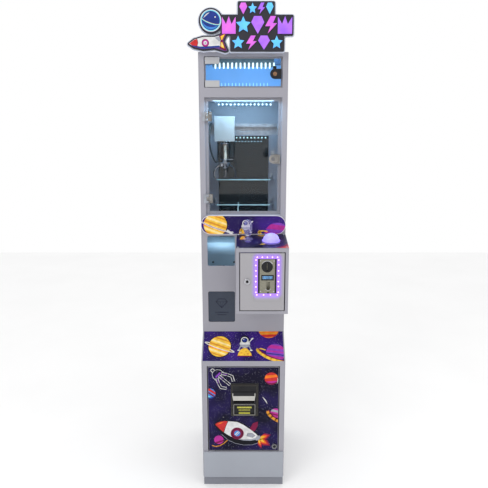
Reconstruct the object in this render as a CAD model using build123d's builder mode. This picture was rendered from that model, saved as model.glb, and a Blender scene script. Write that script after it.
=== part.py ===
from build123d import *
from math import atan, cos, degrees, hypot, pi, radians, sin
import os

# A slim floor-standing claw crane machine. Millimetres, +Z up, +X to the right seen from the
# front, the front faces -Y. The origin is the centre of the base on the floor.

# Driving dimensions of the cabinet
cabinet_width = 324.0
cabinet_height = 1684.0
cabinet_depth = 410.0
column_setback = 98.0      # the upper column stands this far behind the lower front
sheet = 2.0                # folded steel sheet
plinth_height = 38.0
kick_top = 152.0
slope_bottom = 540.0
slope_top = 625.0
panel_joint = 1050.0       # where the two upper front panels meet
deck_height = 950.0        # playing floor
light_floor = 1545.0       # ceiling of the playing chamber

# Openings in the front
service_open_half = 141.5
service_open_low = 153.0
service_open_high = 519.5
flap_open_left = -139.0
flap_open_right = -33.0
flap_open_low = 664.0
flap_open_high = 791.0
window_low = 895.0
window_high = 1014.0
column_open_half = 142.0
door_open_low = 1096.0
door_open_high = 1528.0
light_open_low = 1562.0
light_open_high = 1669.0

# Control box
box_left = -26.0
box_right = 162.0
box_reach = 165.0          # how far it stands out from the column
box_bottom = 757.0
box_front_top = 1003.0
box_back_top = 1021.0
coin_open_left = -14.5
coin_open_right = 150.5
coin_open_low = 768.0
coin_open_high = 987.0

# Doors, locks and hinges
door_gap = 3.0
door_fold = 12.0
glass_thickness = 5.0
glass_recess = 3.0
jamb_depth = 12.0
barrel_radius = 9.0
plug_radius = 5.0
pin_radius = 2.0
fit_gap = 0.06             # radial clearance of every pin, shaft and plug
pin_inset = 5.4            # a sheet door's pin, in from the door's edge
pin_depth = 6.0            # and behind its face
door_play = 0.5            # a sheet door is this much smaller than its gap
hinge_lip_half = 15.0
cam_length = 30.0
cam_width = 12.0

# Controls
stick_x = 17.0
stick_back = 90.0          # how far in front of the column the stick stands
button_x = 102.0
button_back = 95.0
stick_radius = 4.5
knob_radius = 16.5
button_radius = 29.0
button_press = 4.0

# Crane
claw_x = -73.0
claw_y = 0.0
beam_height = 44.0
beam_mid = 1417.0
beam_front = 44.0
beam_depth = 22.0
beam_half = 134.0
cover_left = -112.0
cover_right = -34.0
cover_low = 1370.0
cover_high = 1464.0
drum_radius = 10.0
drum_height = 1440.0
roller_radius = 19.5
coil_radius = 14.5
coil_low = 1302.0
coil_high = 1360.0
finger_pivot_out = 17.0
finger_pivot_height = 1279.0
finger_width = 8.0

# Sign and banner
sign_gap = 30.0            # the sign stands this far in front of the column
banner_low = 1022.0
banner_high = 1095.0
board_thickness = 5.0

# Worked out from the sizes above
half_width = cabinet_width / 2
inner_half = half_width - sheet
front = -cabinet_depth / 2
back = cabinet_depth / 2
column = front + column_setback
column_inside = column + sheet
back_inside = back - sheet
box_front = column - box_reach
slant = degrees(atan((box_back_top - box_front_top) / box_reach))

os.makedirs("parts", exist_ok=True)


def save(piece, label):
    piece.part.label = label
    export_step(piece.part, f"parts/{label}.step")


def block(x0, x1, y0, y1, z0, z1, mode=Mode.ADD):
    """A box between two corners, in the part being built."""
    with Locations(((x0 + x1) / 2, (y0 + y1) / 2, (z0 + z1) / 2)):
        Box(x1 - x0, y1 - y0, z1 - z0, mode=mode)


def rod(axis, centre, radius, low, high, mode=Mode.ADD):
    """A cylinder along one axis from low to high; centre is its place on the other two."""
    middle = (low + high) / 2
    if axis == "X":
        place, turn = (middle, centre[0], centre[1]), (0, 90, 0)
    elif axis == "Y":
        place, turn = (centre[0], middle, centre[1]), (90, 0, 0)
    else:
        place, turn = (centre[0], centre[1], middle), (0, 0, 0)
    with Locations(place):
        Cylinder(radius, high - low, rotation=turn, mode=mode)


def folded(points, thickness):
    """The outline of a bent sheet: its face line, and the same line one thickness to its left."""
    inner = []
    for i, point in enumerate(points):
        sides = []
        if i > 0:
            sides.append((points[i - 1], point))
        if i < len(points) - 1:
            sides.append((point, points[i + 1]))
        normals = []
        for a, b in sides:
            length = hypot(b[0] - a[0], b[1] - a[1])
            normals.append((-(b[1] - a[1]) / length, (b[0] - a[0]) / length))
        nx = sum(n[0] for n in normals)
        ny = sum(n[1] for n in normals)
        scale = len(normals) * thickness / (nx * nx + ny * ny) ** 0.5
        if len(normals) == 2:
            cosine = (1 + normals[0][0] * normals[1][0] + normals[0][1] * normals[1][1]) / 2
            scale = thickness / (cosine ** 0.5 * hypot(nx, ny))
        inner.append((point[0] + nx * scale, point[1] + ny * scale))
    return list(points) + inner[::-1]


def plate_with_openings(y, thickness, outline, openings, radius=0.0):
    """An upright sheet facing -Y; outline and openings are (left, right, low, high)."""
    with BuildSketch(Plane.XZ.offset(-y - thickness)) as face:
        left, right, low, high = outline
        with Locations(((left + right) / 2, (low + high) / 2)):
            Rectangle(right - left, high - low)
        for left, right, low, high in openings:
            with Locations(((left + right) / 2, (low + high) / 2)):
                if radius:
                    RectangleRounded(right - left, high - low, radius, mode=Mode.SUBTRACT)
                else:
                    Rectangle(right - left, high - low, mode=Mode.SUBTRACT)
    extrude(face.sketch, amount=thickness)


def tray(left, right, low, high, y, fold, thickness):
    """A sheet door: a flat face at y with its four edges folded back."""
    block(left, right, y, y + fold, low, high)
    block(left + thickness, right - thickness, y + thickness, y + fold + 1,
          low + thickness, high - thickness, mode=Mode.SUBTRACT)


# ---- Base, sides and fixed panels ----

with BuildPart() as base_pan:
    # A tray that stands on the floor, with its rim inside the cabinet's panels
    block(-inner_half, inner_half, front + sheet, back_inside, 0, plinth_height + sheet)
    block(-inner_half + sheet, inner_half - sheet, front + 2 * sheet, back_inside - sheet,
          sheet, plinth_height + sheet + 1, mode=Mode.SUBTRACT)
save(base_pan, "base_pan")

side_outline = [
    (front, plinth_height), (back, plinth_height), (back, cabinet_height),
    (column, cabinet_height), (column, slope_top), (front, slope_bottom),
]
with BuildPart() as left_side_panel:
    with BuildSketch(Plane.YZ.offset(-half_width)):
        with BuildLine():
            Polyline(*side_outline, close=True)
        make_face()
    extrude(amount=sheet)
save(left_side_panel, "left_side_panel")

with BuildPart() as right_side_panel:
    with BuildSketch(Plane.YZ.offset(inner_half)):
        with BuildLine():
            Polyline(*side_outline, close=True)
        make_face()
    extrude(amount=sheet)
save(right_side_panel, "right_side_panel")

lip_depth = 15.0
service_edge = service_open_half - door_gap - door_play
service_pin_x = -service_edge + pin_inset
service_pin_y = front + pin_depth
with BuildPart() as lower_front_panel:
    # One folded sheet: the lower front with the service opening, and the slope above it
    with BuildSketch(Plane.YZ.offset(-inner_half)):
        with BuildLine():
            Polyline(*folded([(column, slope_top), (front, slope_bottom), (front, plinth_height + sheet)],
                             sheet), close=True)
        make_face()
    extrude(amount=2 * inner_half)
    block(-service_open_half, service_open_half, front - 1, front + sheet + 1,
          service_open_low, service_open_high, mode=Mode.SUBTRACT)
    for low in (service_open_low - sheet, service_open_high):
        block(service_pin_x - hinge_lip_half, service_pin_x + hinge_lip_half,
              front + sheet, front + lip_depth, low, low + sheet)
        rod("Z", (service_pin_x, service_pin_y), pin_radius + fit_gap, low - 1, low + sheet + 1,
            mode=Mode.SUBTRACT)
save(lower_front_panel, "lower_front_panel")

kick_proud = 6.0
with BuildPart() as kick_panel:
    tray(-inner_half, inner_half, plinth_height, kick_top, front - kick_proud, kick_proud, sheet)
save(kick_panel, "kick_panel")

flap_rod_y = column_inside + 4.0
flap_rod_z = flap_open_high + 6.0
flap_left = flap_open_left - 4.0
flap_right = flap_open_right + 4.0
wire_hole = (40.0, 120.0, 800.0, 860.0)
ear_thick = 3.0
ear_play = 2.0             # between the flap and each ear
ear_reach = 10.0
ear_half = 9.0
stud_radius = 4.0
stud_spacing = 120.0
with BuildPart() as middle_front_panel:
    # The window onto the chute, the prize opening, and the way through for the wiring
    plate_with_openings(
        column, sheet, (-inner_half, inner_half, slope_top, panel_joint),
        [(flap_open_left, flap_open_right, window_low, window_high),
         (flap_open_left, flap_open_right, flap_open_low, flap_open_high), wire_hole],
        radius=7.0)
    for left in (flap_left - ear_play - ear_thick, flap_right + ear_play):
        block(left, left + ear_thick, column_inside, column_inside + ear_reach,
              flap_rod_z - ear_half, flap_rod_z + ear_half)
    rod("X", (flap_rod_y, flap_rod_z), pin_radius + fit_gap, flap_left - 6, flap_right + 6,
        mode=Mode.SUBTRACT)
    for x in (-stud_spacing, 0, stud_spacing):
        rod("Y", (x, (banner_low + panel_joint) / 2), stud_radius, column - board_thickness, column)
save(middle_front_panel, "middle_front_panel")

door_rebate = 13.0
light_rebate = 6.0
light_pin_x = -134.0
light_pin_y = column + glass_recess + glass_thickness / 2
with BuildPart() as upper_front_frame:
    # The upper front, with a folded jamb behind each door
    plate_with_openings(
        column, sheet, (-inner_half, inner_half, panel_joint, cabinet_height),
        [(-column_open_half, column_open_half, door_open_low, door_open_high),
         (-column_open_half, column_open_half, light_open_low, light_open_high)])
    for low, high, rebate in ((door_open_low, door_open_high, door_rebate),
                              (light_open_low, light_open_high, light_rebate)):
        outer = column_open_half + sheet
        block(-outer, outer, column_inside, column + jamb_depth + sheet, low - sheet, high + sheet)
        block(-column_open_half, column_open_half, column_inside - 1, column + jamb_depth,
              low, high, mode=Mode.SUBTRACT)
        block(-column_open_half + rebate, column_open_half - rebate, column, column + jamb_depth + sheet + 1,
              low + rebate, high - rebate, mode=Mode.SUBTRACT)
    for low in (light_open_low - sheet, light_open_high):
        rod("Z", (light_pin_x, light_pin_y), pin_radius + fit_gap, low - 1, low + sheet + 1,
            mode=Mode.SUBTRACT)
save(upper_front_frame, "upper_front_frame")

with BuildPart() as roof_panel:
    block(-inner_half, inner_half, column_inside, back_inside, cabinet_height - sheet, cabinet_height)
    roof_lip = 12.0
    for x in (-inner_half, inner_half - sheet):
        block(x, x + sheet, column_inside, back_inside, cabinet_height - roof_lip, cabinet_height)
save(roof_panel, "roof_panel")

with BuildPart() as light_box_floor:
    block(-inner_half, inner_half, column_inside, back_inside, light_floor - sheet, light_floor)
save(light_box_floor, "light_box_floor")

inlet_x = -76.0
inlet_z = 114.0
inlet_width = 28.0
inlet_height = 22.0
switch_x = -30.0
switch_width = 20.0
switch_height = 15.0
vent_count = 9
vent_half = 50.0
vent_low = 380.0
vent_pitch = 14.0
vent_slot = 5.0
panel_seam = 1.0           # half the seam between the rear panels
with BuildPart() as rear_panels:
    # An upper back sheet and a removable lower one with vents
    block(-inner_half, inner_half, back_inside, back, slope_top + panel_seam, cabinet_height)
    block(-inner_half, inner_half, back_inside, back, plinth_height + sheet, slope_top - panel_seam)
    for i in range(vent_count):
        low = vent_low + vent_pitch * i
        block(-vent_half, vent_half, back_inside - 1, back + 1, low, low + vent_slot, mode=Mode.SUBTRACT)
    block(inlet_x - inlet_width / 2, inlet_x + inlet_width / 2, back_inside - 1, back + 1,
          inlet_z - inlet_height / 2, inlet_z + inlet_height / 2, mode=Mode.SUBTRACT)
    block(switch_x - switch_width / 2, switch_x + switch_width / 2, back_inside - 1, back + 1,
          inlet_z - switch_height / 2, inlet_z + switch_height / 2, mode=Mode.SUBTRACT)
save(rear_panels, "rear_panels")

# ---- Playing chamber and prize chute ----

mirror_half = 108.0
mirror_high = 1392.0
mirror_thickness = 3.0
mirror_front = back_inside - mirror_thickness
with BuildPart() as back_mirror:
    block(-mirror_half, mirror_half, mirror_front, back_inside, deck_height + 2, mirror_high)
save(back_mirror, "back_mirror")

ledge_half = 116.0
ledge_depth = 35.0
ledge_thickness = 5.0
ledge_heights = (1101.0, 1210.0)
with BuildPart() as display_ledges:
    # Two clear acrylic ledges fixed through the mirror
    for height in ledge_heights:
        block(-ledge_half, ledge_half, mirror_front - ledge_depth, mirror_front,
              height - ledge_thickness, height)
save(display_ledges, "display_ledges")

chute_right = -22.0
chute_round = 42.0
chute_face = 30.0          # the chute's back wall
chute_edge = chute_face + chute_round
with BuildPart() as playfield_deck:
    # The playing floor, with the front left quarter left open over the chute
    block(-inner_half, inner_half, column_inside, mirror_front + mirror_thickness,
          deck_height - sheet, deck_height)
    block(-inner_half, chute_right, column_inside - 1, chute_edge,
          deck_height - sheet - 1, deck_height + 1, mode=Mode.SUBTRACT)
save(playfield_deck, "playfield_deck")

chute_floor_front = flap_open_low - 11.0
chute_floor_back = chute_floor_front + 19.0
chute_wall_drop = 10.0
wall_lap = 3.0
sensor_radius = 4.0
sensor_depth = 4.0
sensor_height = 877.0
sensor_inset = 16.0        # from the chute's right-hand wall
sensor_spread = 88.0
with BuildPart() as prize_chute:
    # One bent sheet: rounded over from the deck, straight down, then forward to the prize flap
    with BuildSketch(Plane.YZ.offset(-inner_half)):
        with Locations((chute_edge, deck_height - chute_round)):
            Circle(chute_round)
            Circle(chute_round - sheet, mode=Mode.SUBTRACT)
        with Locations((chute_edge, deck_height - chute_round)):
            Rectangle(chute_round, 2 * chute_round, align=(Align.MIN, Align.CENTER), mode=Mode.SUBTRACT)
            Rectangle(2 * chute_round, chute_round, align=(Align.CENTER, Align.MAX), mode=Mode.SUBTRACT)
        with BuildLine():
            Polyline(*folded([(chute_face, deck_height - chute_round), (chute_face, chute_floor_back),
                              (column_inside + 0.5, chute_floor_front)], sheet), close=True)
        make_face()
    extrude(amount=inner_half + chute_right)
    # Its right-hand wall
    block(chute_right, chute_right + sheet, column_inside, chute_face + sheet + wall_lap,
          chute_floor_front - chute_wall_drop, deck_height - sheet)
    # Two prize sensors
    for x in (chute_right - sensor_inset - sensor_spread, chute_right - sensor_inset):
        rod("Y", (x, sensor_height), sensor_radius, chute_face - sensor_depth, chute_face)
save(prize_chute, "prize_chute")

acrylic = 3.0
divider_high = 1121.0
rear_guard_high = 1060.0
pane_overlap = 4.0
guard_gap = 1.0
with BuildPart() as clear_guards:
    # Two guards round the chute, standing on the deck, and the pane of the lower window
    block(chute_right, chute_right + acrylic, column_inside + jamb_depth + guard_gap, chute_edge,
          deck_height, divider_high)
    block(-inner_half, chute_right + acrylic, chute_edge + guard_gap, chute_edge + guard_gap + acrylic,
          deck_height, rear_guard_high)
    block(flap_open_left - pane_overlap, flap_open_right + pane_overlap,
          column_inside, column_inside + acrylic, window_low - pane_overlap, window_high + pane_overlap)
save(clear_guards, "clear_guards")

rail_reach = 14.0
rail_half_height = 16.0
rail_front = -30.0
with BuildPart() as side_rails:
    # Two channels, open to the middle, that carry the gantry
    for side in (-1, 1):
        wall = side * inner_half
        inner = side * (inner_half - rail_reach)
        web = side * (inner_half - sheet)
        block(min(wall, inner), max(wall, inner), rail_front, mirror_front,
              beam_mid - rail_half_height, beam_mid + rail_half_height)
        block(min(web, inner - side), max(web, inner - side), rail_front - 1, mirror_front + 1,
              beam_mid - rail_half_height + sheet, beam_mid + rail_half_height - sheet,
              mode=Mode.SUBTRACT)
save(side_rails, "side_rails")

light_half = 112.0
strip_tall = 12.0
strip_thick = 4.0
chamber_strip_low = door_open_high - strip_tall
hung_strip_low = cabinet_height - 48.0
hanger_front = column + 30.0
with BuildPart() as light_bars:
    # The chamber's bar on the back wall, and the light box's bar hung from the roof
    block(-light_half, light_half, back_inside - strip_thick, back_inside,
          chamber_strip_low, chamber_strip_low + strip_tall)
    block(-light_half, light_half, hanger_front, hanger_front + sheet,
          hung_strip_low, cabinet_height - sheet)
    block(-light_half, light_half, hanger_front - strip_thick, hanger_front,
          hung_strip_low, hung_strip_low + strip_tall)
save(light_bars, "light_bars")

# ---- Control box ----

coin_door_left = coin_open_left + door_gap
coin_door_right = coin_open_right - door_gap - door_play
coin_pin_x = coin_door_right - pin_inset
coin_pin_y = box_front + pin_depth
under_panel = sheet / cos(radians(slant))
box_outline = [(box_front, box_bottom), (column, box_bottom), (column, box_back_top - under_panel),
               (box_front, box_front_top - under_panel)]
box_inside = [(box_front + sheet, box_bottom + sheet), (column - sheet, box_bottom + sheet),
              (column - sheet, box_back_top + 1), (box_front + sheet, box_back_top + 1)]
with BuildPart() as control_box:
    # A folded box, open at the top, with an opening for the coin door
    with BuildSketch(Plane.YZ.offset(box_left)):
        with BuildLine():
            Polyline(*box_outline, close=True)
        make_face()
    extrude(amount=box_right - box_left)
    with BuildSketch(Plane.YZ.offset(box_left + sheet)):
        with BuildLine():
            Polyline(*box_inside, close=True)
        make_face()
    extrude(amount=box_right - box_left - 2 * sheet, mode=Mode.SUBTRACT)
    block(coin_open_left, coin_open_right, box_front - 1, box_front + sheet + 1,
          coin_open_low, coin_open_high, mode=Mode.SUBTRACT)
    wire_left, wire_right, wire_low, wire_high = wire_hole
    block(wire_left, wire_right, column - sheet - 1, column + 1, wire_low, wire_high, mode=Mode.SUBTRACT)
    for low in (coin_open_low - sheet, coin_open_high):
        block(coin_pin_x - hinge_lip_half, coin_pin_x + hinge_lip_half,
              box_front + sheet, box_front + lip_depth, low, low + sheet)
        rod("Z", (coin_pin_x, coin_pin_y), pin_radius + fit_gap, low - 1, low + sheet + 1,
            mode=Mode.SUBTRACT)
save(control_box, "control_box")

# The panel's own plane: its origin is on the top surface over the middle of the front edge
panel_plane = Plane(origin=((box_left + box_right) / 2, box_front, box_front_top),
                    x_dir=(1, 0, 0), z_dir=(0, -sin(radians(slant)), cos(radians(slant))))
panel_mid = (box_left + box_right) / 2
panel_run = box_reach / cos(radians(slant))
panel_gap = 0.25           # at the panel's front and back edges


def on_panel(x, ahead_of_column):
    """Where a control sits on the panel's plane."""
    return (x - panel_mid, (box_reach - ahead_of_column) / cos(radians(slant)))


stick_place = on_panel(stick_x, stick_back)
button_place = on_panel(button_x, button_back)
stick_hole = 12.0
button_hole = 12.0
with BuildPart() as control_panel:
    with BuildSketch(panel_plane):
        with Locations((0, panel_run / 2)):
            Rectangle(box_right - box_left, panel_run - 2 * panel_gap)
        with Locations(stick_place):
            Circle(stick_hole, mode=Mode.SUBTRACT)
        with Locations(button_place):
            Circle(button_hole, mode=Mode.SUBTRACT)
    extrude(amount=-sheet)
save(control_panel, "control_panel")

stick_plane = Plane(origin=panel_plane.from_local_coords(Vector(*stick_place, 0)),
                    x_dir=(1, 0, 0), z_dir=panel_plane.z_dir)
button_plane = Plane(origin=panel_plane.from_local_coords(Vector(*button_place, 0)),
                     x_dir=(1, 0, 0), z_dir=panel_plane.z_dir)
stem_radius = 8.0
gimbal_depth = 16.0        # pivot below the panel's surface
housing_half = 28.0
housing_wall = 4.0
housing_depth = 34.0
bezel_radius = 33.5
bezel_height = 6.0
bezel_floor = 1.5
dome_gap = 0.6
stem_gap = 0.4
body_gap = 0.2             # between the button's body and the panel's hole
with BuildPart() as control_housings:
    # The joystick's square housing, and the push button's ring and body
    with BuildSketch(stick_plane.offset(-sheet)):
        Rectangle(2 * housing_half, 2 * housing_half)
        Rectangle(2 * (housing_half - housing_wall), 2 * (housing_half - housing_wall), mode=Mode.SUBTRACT)
    extrude(amount=-(housing_depth - sheet))
    with Locations(stick_plane.offset(-gimbal_depth).location):
        Cylinder(pin_radius + fit_gap, 2 * housing_half + 2, rotation=(0, 90, 0), mode=Mode.SUBTRACT)
    with BuildSketch(button_plane):
        Circle(bezel_radius)
    extrude(amount=bezel_floor)
    with BuildSketch(button_plane.offset(bezel_floor)):
        Circle(bezel_radius)
        Circle(button_radius + dome_gap, mode=Mode.SUBTRACT)
    extrude(amount=bezel_height - bezel_floor)
    with BuildSketch(button_plane):
        Circle(button_hole - body_gap)
    extrude(amount=-housing_depth - 2)
    with BuildSketch(button_plane.offset(2)):
        Circle(stem_radius + stem_gap)
    extrude(amount=-housing_depth, mode=Mode.SUBTRACT)
save(control_housings, "control_housings")

pivot_plane = stick_plane.offset(-gimbal_depth)
ring_outer = 17.0
ring_inner = 11.0
ring_tall = 6.0
with BuildPart() as joystick_gimbal:
    # Swings forward and back on two pins in the housing
    with BuildSketch(pivot_plane.offset(-ring_tall / 2)):
        Circle(ring_outer)
        Circle(ring_inner, mode=Mode.SUBTRACT)
    extrude(amount=ring_tall)
    for side in (-1, 1):
        with Locations(pivot_plane.location):
            with Locations((side * (ring_outer + housing_half) / 2, 0, 0)):
                Cylinder(pin_radius, housing_half - ring_outer + 2, rotation=(0, 90, 0))
    with Locations(pivot_plane.location):
        Cylinder(pin_radius + fit_gap, 2 * ring_outer + 2, rotation=(90, 0, 0), mode=Mode.SUBTRACT)
save(joystick_gimbal, "joystick_gimbal")

knob_low = 28.0
knob_high = 84.0
washer_radius = 18.0
washer_thick = 1.5
washer_lift = 8.6          # above the panel
hub_ball = 8.0
with BuildPart() as joystick:
    # Shaft, hub with cross pin, dust washer and the clear handle, swinging from side to side
    with BuildSketch(Plane.XZ) as turned:
        with Locations((0, -16)):
            Rectangle(6, 10, align=(Align.MIN, Align.MIN))
        with Locations((0, -10)):
            Rectangle(stick_radius, gimbal_depth + knob_low + 14, align=(Align.MIN, Align.MIN))
        with Locations((0, gimbal_depth + washer_lift)):
            Rectangle(washer_radius, washer_thick, align=(Align.MIN, Align.MIN))
        with BuildLine():
            l1 = Line((0, gimbal_depth + knob_low), (knob_radius * 0.6, gimbal_depth + knob_low))
            l2 = Spline(l1 @ 1, (knob_radius, gimbal_depth + knob_low + 16),
                        (knob_radius * 0.8, gimbal_depth + knob_high - 12), (0, gimbal_depth + knob_high),
                        tangents=((1, 1), (-1, 0)))
            Line(l2 @ 1, l1 @ 0)
        make_face()
    stick = revolve(turned.sketch, axis=Axis.Z, mode=Mode.PRIVATE)
    with Locations(pivot_plane.location):
        add(stick)
        Sphere(hub_ball)
        Cylinder(pin_radius, 2 * ring_outer, rotation=(90, 0, 0))
save(joystick, "joystick")

dome_base = bezel_height
dome_height = 25.0
with BuildPart() as play_button:
    # A lit dome on a stem that slides in the housing
    with BuildSketch(Plane.XZ) as turned:
        with Locations((0, -20)):
            Rectangle(stem_radius, dome_base + 21, align=(Align.MIN, Align.MIN))
        with BuildLine():
            b1 = Polyline((0, dome_base), (button_radius, dome_base), (button_radius, dome_base + 2))
            b2 = Spline(b1 @ 1, (button_radius * 0.75, dome_base + 2 + dome_height * 0.68),
                        (0, dome_base + 2 + dome_height), tangents=((0, 1), (-1, 0)))
            Line(b2 @ 1, b1 @ 0)
        make_face()
    dome = revolve(turned.sketch, axis=Axis.Z, mode=Mode.PRIVATE)
    with Locations(button_plane.location):
        add(dome)
save(play_button, "play_button")

cash_wall = 1.5
cash_left = box_left + 18.0
cash_right = box_right - 42.0
cash_front = box_front + 17.0
cash_back = column - 18.0
cash_tall = 50.0
with BuildPart() as cash_box:
    # A lift-out coin tray on the control box's floor
    block(cash_left, cash_right, cash_front, cash_back, box_bottom + sheet, box_bottom + sheet + cash_tall)
    block(cash_left + cash_wall, cash_right - cash_wall, cash_front + cash_wall, cash_back - cash_wall,
          box_bottom + sheet + cash_wall, box_bottom + sheet + cash_tall + 1, mode=Mode.SUBTRACT)
save(cash_box, "cash_box")

# ---- Coin door ----

coin_lock = (14.0, 880.0)
slot_centre = (85.0, 935.0)
slot_disc_radius = 20.0
slot_press = 3.0
acceptor = (52.0, 119.0, 836.0, 964.0)
barrel_end = door_fold + 3.0
with BuildPart() as coin_door:
    tray(coin_door_left, coin_door_right, coin_open_low + door_gap, coin_open_high - door_gap,
         box_front, door_fold, sheet)
    block(acceptor[0] + 4, acceptor[1] - 4, box_front - 1, box_front + sheet + 1,
          acceptor[2] + 6, acceptor[3] - 6, mode=Mode.SUBTRACT)
    rod("Y", coin_lock, barrel_radius, box_front - 1, box_front + sheet + 1, mode=Mode.SUBTRACT)
    rod("Z", (coin_pin_x, coin_pin_y), pin_radius + fit_gap, coin_open_low, coin_open_high,
        mode=Mode.SUBTRACT)
    # The lock's barrel
    rod("Y", coin_lock, barrel_radius + 2, box_front - 3, box_front)
    rod("Y", coin_lock, barrel_radius, box_front, box_front + barrel_end)
    rod("Y", coin_lock, plug_radius + fit_gap, box_front - 4, box_front + barrel_end + 1,
        mode=Mode.SUBTRACT)
save(coin_door, "coin_door")

cup = (83.0, 95.0, 848.0, 880.0)
display = (65.0, 108.0, 886.0, 904.0)
face_proud = 3.0
mechanism_depth = 50.0
cup_depth = 18.0
frame_rim = 12.5
frame_drop = 16.0
with BuildPart() as coin_acceptor:
    # The lit frame, and inside it the faceplate with the mechanism behind
    face = box_front - face_proud
    block(acceptor[0] - frame_rim, acceptor[1] + frame_rim, box_front - 1.5, box_front,
          acceptor[2] - frame_rim - frame_drop, acceptor[3] + frame_rim)
    block(acceptor[0] - 0.4, acceptor[1] + 0.4, box_front - 2, box_front + 1,
          acceptor[2] - 0.4, acceptor[3] + 0.4, mode=Mode.SUBTRACT)
    block(acceptor[0], acceptor[1], face, box_front, acceptor[2], acceptor[3])
    block(acceptor[0] + 5, acceptor[1] - 5, box_front, box_front + mechanism_depth,
          acceptor[2] + 7, acceptor[3] - 7)
    rod("Y", slot_centre, slot_disc_radius + 0.3, face - 1, box_front + slot_press + 2,
        mode=Mode.SUBTRACT)
    block(cup[0], cup[1], face - 1, box_front + cup_depth, cup[2], cup[3], mode=Mode.SUBTRACT)
    block(display[0], display[1], face - 1, face + 1, display[2], display[3], mode=Mode.SUBTRACT)
save(coin_acceptor, "coin_acceptor")

with BuildPart() as coin_slot_button:
    # The round coin entry; pressing it rejects a stuck coin
    rod("Y", slot_centre, slot_disc_radius, box_front - 6, box_front)
    block(slot_centre[0] - 1.5, slot_centre[0] + 1.5, box_front - 7, box_front + 1,
          slot_centre[1] - 14, slot_centre[1] + 14, mode=Mode.SUBTRACT)
save(coin_slot_button, "coin_slot_button")


def lock_plug(place, face, depth):
    """A lock's plug with the cam on its inner end, upright as when unlocked."""
    rod("Y", place, plug_radius, face, depth)
    block(place[0] - cam_width / 2, place[0] + cam_width / 2, depth, depth + sheet,
          place[1] - cam_width / 2, place[1] + cam_length)
    block(place[0] - 0.6, place[0] + 0.6, face - 1, face + 2, place[1] - 3, place[1] + 3,
          mode=Mode.SUBTRACT)


with BuildPart() as coin_door_lock_plug:
    lock_plug(coin_lock, box_front - 3.5, box_front + barrel_end + 0.4)
save(coin_door_lock_plug, "coin_door_lock_plug")

# ---- Service door ----

service_lock = (124.0, 175.0)
bill = (-49.0, 59.0, 312.0, 449.0)
bill_mouth = (-43.0, 47.0, 367.0, 416.0)
bill_slot = (-38.0, 42.0, 371.0, 381.0)
bill_window = (-37.0, 45.0, 318.0, 361.0)
bill_proud = 8.0
mouth_proud = 4.0
bill_body_depth = 95.0
with BuildPart() as service_door:
    tray(-service_edge, service_edge,
         service_open_low + door_gap, service_open_high - door_gap, front, door_fold, sheet)
    block(bill[0] + 7, bill[1] - 7, front - 1, front + sheet + 1, bill[2] + 6, bill[3] - 5,
          mode=Mode.SUBTRACT)
    rod("Y", service_lock, barrel_radius, front - 1, front + sheet + 1, mode=Mode.SUBTRACT)
    rod("Z", (service_pin_x, service_pin_y), pin_radius + fit_gap, service_open_low,
        service_open_high, mode=Mode.SUBTRACT)
    rod("Y", service_lock, barrel_radius + 2, front - 3, front)
    rod("Y", service_lock, barrel_radius, front, front + barrel_end)
    rod("Y", service_lock, plug_radius + fit_gap, front - 4, front + barrel_end + 1,
        mode=Mode.SUBTRACT)
save(service_door, "service_door")

with BuildPart() as bill_acceptor:
    # Black bezel, grey mouthpiece, and the validator with its note box behind the door
    block(bill[0], bill[1], front - bill_proud, front, bill[2], bill[3])
    block(bill[0] + 8, bill[1] - 8, front, front + bill_body_depth, bill[2] + 7, bill[3] - 6)
    block(bill_mouth[0], bill_mouth[1], front - bill_proud - mouth_proud, front - bill_proud,
          bill_mouth[2], bill_mouth[3])
    block(bill_slot[0], bill_slot[1], front - bill_proud - mouth_proud - 1, front + 30,
          bill_slot[2], bill_slot[3],
          mode=Mode.SUBTRACT)
    block(bill_window[0], bill_window[1], front - bill_proud - 1, front - bill_proud + 5,
          bill_window[2], bill_window[3], mode=Mode.SUBTRACT)
save(bill_acceptor, "bill_acceptor")

with BuildPart() as service_door_lock_plug:
    lock_plug(service_lock, front - 3.5, front + barrel_end + 0.4)
save(service_door_lock_plug, "service_door_lock_plug")

# ---- Glass doors ----

glass_front = column + glass_recess
glass_back = glass_front + glass_thickness
light_glass_half = column_open_half - door_gap
patch_right = -86.0
patch_height = 23.0
patch_end = -129.0
light_lock = (114.0, 1609.0)
with BuildPart() as light_box_glass:
    block(light_pin_x - 4.5, light_glass_half, glass_front, glass_back,
          light_open_low + 2, light_open_high - 2)
    for low in (light_open_low + 1.5, light_open_high - patch_height - 2.5):
        block(light_pin_x - 5, patch_end + 0.2, glass_front - 1, glass_back + 1, low, low + patch_height + 1,
              mode=Mode.SUBTRACT)
    rod("Y", light_lock, barrel_radius, glass_front - 1, glass_back + 1, mode=Mode.SUBTRACT)
save(light_box_glass, "light_box_glass")

lock_front = column - 3.0
glass_lock_end = column + jamb_depth + sheet + 1.5
with BuildPart() as light_box_fittings:
    # Corner patches that pivot on pins in the frame, and the lock's body
    for low in (light_open_low + 2, light_open_high - patch_height - 2):
        block(light_pin_x - 4.5, patch_right, glass_front - 1.5, glass_front, low, low + patch_height)
        block(light_pin_x - 4.5, patch_right, glass_back, glass_back + 1.5, low, low + patch_height)
        block(light_pin_x - 4.5, patch_end, glass_front, glass_back, low, low + patch_height)
        rod("Z", (light_pin_x, light_pin_y), pin_radius + fit_gap, low - 1, low + patch_height + 1,
            mode=Mode.SUBTRACT)
    block(light_lock[0], 137, lock_front + 1, glass_front, light_lock[1] - 17, light_lock[1] + 17)
    rod("Y", light_lock, 17.0, lock_front, glass_front)
    rod("Y", light_lock, barrel_radius, glass_front, glass_lock_end)
    rod("Y", light_lock, plug_radius + fit_gap, lock_front - 1, glass_lock_end + 1, mode=Mode.SUBTRACT)
save(light_box_fittings, "light_box_fittings")

with BuildPart() as light_box_lock_plug:
    lock_plug(light_lock, lock_front - 0.5, glass_lock_end + 0.4)
save(light_box_lock_plug, "light_box_lock_plug")

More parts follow.
